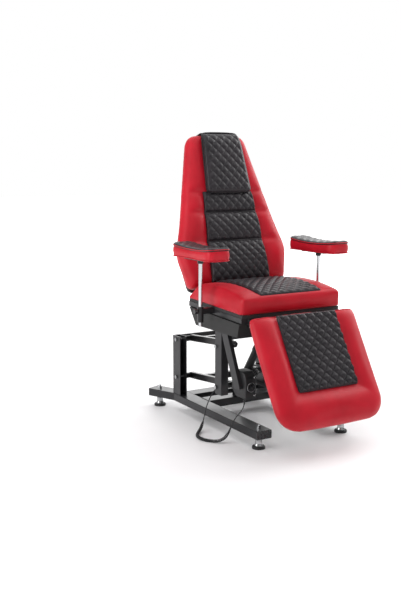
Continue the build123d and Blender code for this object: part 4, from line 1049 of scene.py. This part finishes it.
def addControlBox(look):
    rings = [[(x, y, z) for y, z in archOutline(look)] for x in (look["left"], look["right"])]
    shape = blockBetween(rings)
    bmesh.ops.recalc_face_normals(shape, faces=shape.faces)
    rims = [edge for edge in shape.edges
            if abs(edge.verts[0].co.x - edge.verts[1].co.x) < look["round"]]
    bmesh.ops.bevel(shape, geom=rims, offset=look["round"], segments=4, profile=0.5,
                    affect="EDGES")
    case = makePiece("controlBoxCase", meshFrom("controlBoxCase", shape), "case_plastic",
                     "carriage", sharp=40)
    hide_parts("control_box")
    facing = Matrix.Rotation(pi / 2, 4, "X")
    middle = (look["left"] + look["right"]) / 2
    place = Matrix.Translation((middle, look["front"], look["coverHeight"])) @ facing
    turnedPiece("controlBoxCover", look["coverProfile"], place, "gloss_plastic", "carriage")
    turnedPiece("controlBoxRing", look["ringProfile"], place, "steel_rod", "carriage")
    for number, (x, z) in enumerate(look["screws"], 1):
        turnedPiece(f"controlBoxScrew{number}", look["screwProfile"],
                    Matrix.Translation((x, look["front"], z)) @ facing, "chrome", "carriage",
                    sides=24)


addControlBox(boxLook)


# A bent wire hook for the cables under the trough's left edge
hookLook = {"radius": 0.0022,
            "path": ((-0.283, -0.160, 0.5045), (-0.284, -0.163, 0.494), (-0.285, -0.166, 0.480),
                     (-0.286, -0.171, 0.468), (-0.287, -0.181, 0.464), (-0.288, -0.190, 0.470),
                     (-0.288, -0.193, 0.478))}
addWelt("cableHook", hookLook["path"], hookLook["radius"], "frame_enamel", "carriage",
        closed=False)


# Ripples of weld where the cross beams and the rear posts meet the beams
weldLook = {
    "radius": 0.0021, "step": 0.0024, "ripple": 0.18, "thinEnd": 0.45, "thinning": 6,
    "runs": {
        "MidBeam": ((0.2022, 0.186, 0.0952), (0.2022, 0.264, 0.0952)),
        "RearBeam": ((0.2022, 0.420, 0.0952), (0.2022, 0.420, 0.0560)),
        "PostFront": ((0.2425, 0.3435, 0.0957), (0.2815, 0.3435, 0.0957)),
        "PostOutside": ((0.2825, 0.3445, 0.0957), (0.2825, 0.4175, 0.0957)),
        "PostRear": ((0.2815, 0.4185, 0.0957), (0.2425, 0.4185, 0.0957)),
    },
}


def weldBead(name, start, end, look, body):
    start, end = Vector(start), Vector(end)
    count = max(4, ceil((end - start).length / look["step"]))
    curve = bpy.data.curves.new(name, "CURVE")
    curve.dimensions = "3D"
    curve.bevel_depth = look["radius"]
    curve.bevel_resolution = 2
    curve.use_fill_caps = True
    spline = curve.splines.new("POLY")
    spline.points.add(count)
    for number, point in enumerate(spline.points):
        share = number / count
        point.co = (*start.lerp(end, share), 1)
        taper = min(1.0, look["thinEnd"] + look["thinning"] * min(share, 1 - share))
        point.radius = taper * (1 + look["ripple"] * (1 if number % 2 else -1))
    makePiece(name, curve, "frame_enamel", body)


for runName, (start, end) in weldLook["runs"].items():
    for sideName, side in leftAndRight:
        weldBead("weld" + runName + sideName, (side * start[0], *start[1:]),
                 (side * end[0], *end[1:]), weldLook, "base")


# The lift motor's can has a ribbed end cap with a vent ring, and its gear case a cover
motorLook = {
    "foot": (0.0, 0.225, 0.120), "along": (0.0, -0.5707058, 0.8211546),
    "canShift": -0.044, "canEnd": 0.184, "gearShift": -0.026, "gearAlong": 0.049,
    "gearSide": 0.042,
    "capProfile": ((0.0005, -0.004), (0.0296, -0.004), (0.0302, -0.003), (0.0302, 0.0030),
                   (0.0286, 0.0050), (0.0240, 0.0058), (0.0232, 0.0046), (0.0206, 0.0046),
                   (0.0198, 0.0062), (0.0120, 0.0072), (0.0112, 0.0060), (0.0080, 0.0060),
                   (0.0074, 0.0076), (0.0005, 0.0080)),
    "coverProfile": ((0.0005, -0.002), (0.0200, -0.002), (0.0200, 0.0014), (0.0188, 0.0026),
                     (0.0140, 0.0026), (0.0128, 0.0014), (0.0060, 0.0014), (0.0052, 0.0030),
                     (0.0005, 0.0032)),
}


def motorPlace(across, along, side=0.0):
    direction = Vector(motorLook["along"])
    sideways = Vector((0, direction.z, -direction.y))
    middle = Vector(motorLook["foot"]) + direction * along + sideways * across
    return Matrix.Translation(middle + Vector((side, 0, 0)))


def addMotorCaps(look):
    turn = Vector(look["along"]).to_track_quat("Z", "Y").to_matrix().to_4x4()
    turnedPiece("liftMotorCap", look["capProfile"],
                motorPlace(look["canShift"], look["canEnd"]) @ turn,
                "gloss_plastic", "lift_motor_body", sides=56)
    for sideName, side in leftAndRight:
        turnedPiece("liftGearCover" + sideName, look["coverProfile"],
                    motorPlace(look["gearShift"], look["gearAlong"], side * look["gearSide"])
                    @ Matrix.Rotation(side * pi / 2, 4, "Y"),
                    "case_plastic", "lift_motor_body")


addMotorCaps(motorLook)
print("fittings added")


# The handset's cord: a thin lead, a curly stretch that lies on the floor, a thin lead
cordLook = {
    "leadDiameter": 0.005, "curlDiameter": 0.0052, "curlRadius": 0.0054, "curls": 58,
    "pointsPerCurl": 14, "widenTurns": (9.0, 3.0),
    "front": ((-0.257, -0.223, 0.205), (-0.257, -0.223, 0.177), (-0.274, -0.218, 0.148),
              (-0.298, -0.211, 0.126), (-0.310, -0.207, 0.099)),
    "curly": ((-0.310, -0.207, 0.099), (-0.3172, -0.2046, 0.0828), (-0.327, -0.199, 0.055),
              (-0.343, -0.188, 0.024), (-0.368, -0.168, 0.0095), (-0.396, -0.138, 0.0085),
              (-0.414, -0.102, 0.0085), (-0.414, -0.062, 0.0085), (-0.396, -0.025, 0.0085),
              (-0.368, 0.005, 0.0095), (-0.343, 0.026, 0.020), (-0.328, 0.035, 0.042),
              (-0.321, 0.038, 0.060)),
    "rear": ((-0.321, 0.038, 0.060), (-0.3154, 0.0404, 0.0744), (-0.307, 0.040, 0.110),
             (-0.295, 0.036, 0.145), (-0.281, 0.029, 0.178), (-0.2695, 0.018, 0.205),
             (-0.2695, -0.00325, 0.205)),
}


def cordCurve(name, points, diameter):
    curve = nurbsCurve(name, points, diameter / 2, 8, 3)
    curve.use_fill_caps = True
    return curve


def routePoints(points):
    return lineAlong(nurbsCurve("cordRoute", points, 0, 8, 0))


def lengthOf(points):
    return sum((after - before).length for before, after in zip(points, points[1:]))


# The curls wind round the route, with their sideways carried on without twist
def curlPoints(look):
    line = routePoints(look["curly"])
    whole = lengthOf(line)
    stub = 2 * look["curlDiameter"]
    count = look["curls"] * look["pointsPerCurl"]
    points = [line[0], line[0] + (line[1] - line[0]).normalized() * stub / 2]
    side = Vector((0, 0, 1))
    reached, number = 0.0, 0
    for step in range(1, count):
        wanted = stub + (whole - 2 * stub) * step / count
        while reached + (line[number + 1] - line[number]).length < wanted:
            reached += (line[number + 1] - line[number]).length
            number += 1
        along = (line[number + 1] - line[number]).normalized()
        centre = line[number] + along * (wanted - reached)
        side = (side - along * side.dot(along)).normalized()
        turns = step / look["pointsPerCurl"]
        widen = min(1, turns / look["widenTurns"][0],
                    (look["curls"] - turns) / look["widenTurns"][1])
        angle = 2 * pi * turns
        reach = look["curlRadius"] * widen
        points.append(centre + side * (reach * cos(angle))
                      + along.cross(side) * (reach * sin(angle)))
    points += [line[-1] - (line[-1] - line[-2]).normalized() * stub / 2, line[-1]]
    return points


# A tapered rubber sleeve with rings, where a lead leaves its case
sleeveProfile = ((0.0027, 0.0010), (0.0062, 0.0010), (0.0062, -0.0030), (0.0052, -0.0038),
                 (0.0056, -0.0050), (0.0056, -0.0072), (0.0046, -0.0080), (0.0050, -0.0092),
                 (0.0049, -0.0112), (0.0040, -0.0120), (0.0044, -0.0132), (0.0042, -0.0152),
                 (0.0034, -0.0160), (0.0036, -0.0172), (0.0032, -0.0200), (0.0027, -0.0206))


def addSleeve(name, place, away):
    turn = (-away).to_track_quat("Z", "Y").to_matrix().to_4x4()
    return turnedPiece(name, sleeveProfile, Matrix.Translation(place) @ turn,
                       "cord_rubber", "carriage", sides=32, sharp=40)


def addCords(look):
    leads = (("front", "cordLeadFront", "cord_lead_front", 0, 1),
             ("rear", "cordLeadRear", "cord_lead_rear", -1, -2))
    for part, name, node, first, second in leads:
        route = look[part]
        curve = cordCurve(name, route, look["leadDiameter"])
        piece = makePiece(name, curve, "cord_rubber", "carriage")
        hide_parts(node)
        sleeve = addSleeve(name + "Sleeve", route[first],
                           Vector(route[second]) - Vector(route[first]))
        lengthOf(routePoints(route))
    points = curlPoints(look)
    curve = cordCurve("cordCurls", points, look["curlDiameter"])
    curve.resolution_u = 2
    piece = makePiece("cordCurls", curve, "cord_rubber", "carriage")
    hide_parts("cord_curls")
    lengthOf(routePoints(points))


addCords(cordLook)
print("cords laid")


# Studio: a pale floor that keeps the shadow, a white surround, soft lamps
studio = {
    "floor": {"size": 60.0, "colour": (0.93, 0.92, 0.925), "roughness": 0.6,
              "tones": ((0.3, (0.915, 0.90, 0.915)), (0.7, (0.935, 0.925, 0.93))),
              "glowFrom": 2.6, "glowTo": 4.6, "glow": 0.9},
    "world": 0.30,
    "overhead": {"place": (0.3, 0.8, 6.0), "aim": (0.3, 0.8, 0), "size": 11.0, "power": 440.0},
    "left": {"place": (-4.6, 0.4, 2.0), "aim": (0, 0, 0.7), "size": 2.4, "power": 92.0},
    "right": {"place": (4.4, 0.2, 3.1), "aim": (0, -0.2, 0.6), "size": 3.4, "power": 145.0},
    "behind": {"place": (4.2, 6.8, 2.6), "aim": (0, 0, 0.5), "size": 6.0, "power": 230.0},
    "front": {"place": (0.6, -4.6, 2.2), "aim": (0, 0, 0.7), "size": 3.0, "power": 7.0},
}


# The floor glows white away from the chair, where the photograph shows no edge
def addFloor(values):
    mesh = bpy.data.meshes.new("studioFloor")
    half = values["size"] / 2
    mesh.from_pydata([(-half, -half, 0), (half, -half, 0), (half, half, 0), (-half, half, 0)],
                     [], [(0, 1, 2, 3)])
    floor = addObject("studioFloor", mesh)
    material, shader = startMaterial("studioFloor", values["colour"], values["roughness"])
    varyColour(shader, noiseOf(shader, 0.8, 3), values["tones"])
    bumpOf(shader, noiseOf(shader, 120.0, 4), 0.05, 0.001)
    place = addNode(shader, "ShaderNodeTexCoord")
    away = addNode(shader, "ShaderNodeVectorMath")
    away.operation = "LENGTH"
    join(place.outputs["Object"], away.inputs[0])
    fade = addNode(shader, "ShaderNodeMapRange", From_Min=values["glowFrom"],
                   From_Max=values["glowTo"], To_Min=0.0, To_Max=values["glow"])
    fade.interpolation_type = "SMOOTHSTEP"
    join(away.outputs["Value"], fade.inputs["Value"])
    shader.inputs["Emission Color"].default_value = (1, 1, 1, 1)
    join(fade.outputs["Result"], shader.inputs["Emission Strength"])
    mesh.materials.append(material)


def addLamp(name, values):
    data = bpy.data.lights.new(name, "AREA")
    data.shape = "SQUARE"
    data.size = values["size"]
    data.energy = values["power"]
    lamp = addObject(name, data)
    lamp.location = values["place"]
    lamp.visible_camera = False
    towards = Vector(values["aim"]) - Vector(values["place"])
    lamp.rotation_euler = towards.to_track_quat("-Z", "Y").to_euler()


# The world lights the chair softly and looks plain white behind it
def addWorld(strength):
    world = bpy.data.worlds.new("studioWorld")
    scene.world = world
    world.use_nodes = True
    tree = world.node_tree
    tree.nodes.clear()
    mix = tree.nodes.new("ShaderNodeMixShader")
    for number, glow in ((1, strength), (2, 1.0)):
        background = tree.nodes.new("ShaderNodeBackground")
        background.inputs["Color"].default_value = (1, 1, 1, 1)
        background.inputs["Strength"].default_value = glow
        tree.links.new(background.outputs[0], mix.inputs[number])
    paths = tree.nodes.new("ShaderNodeLightPath")
    tree.links.new(paths.outputs["Is Camera Ray"], mix.inputs["Fac"])
    output = tree.nodes.new("ShaderNodeOutputWorld")
    tree.links.new(mix.outputs[0], output.inputs["Surface"])


addFloor(studio["floor"])
for lampName in ("overhead", "left", "right", "behind", "front"):
    addLamp(lampName, studio[lampName])
addWorld(studio["world"])
scene.view_settings.view_transform = "Standard"
print("studio lit")
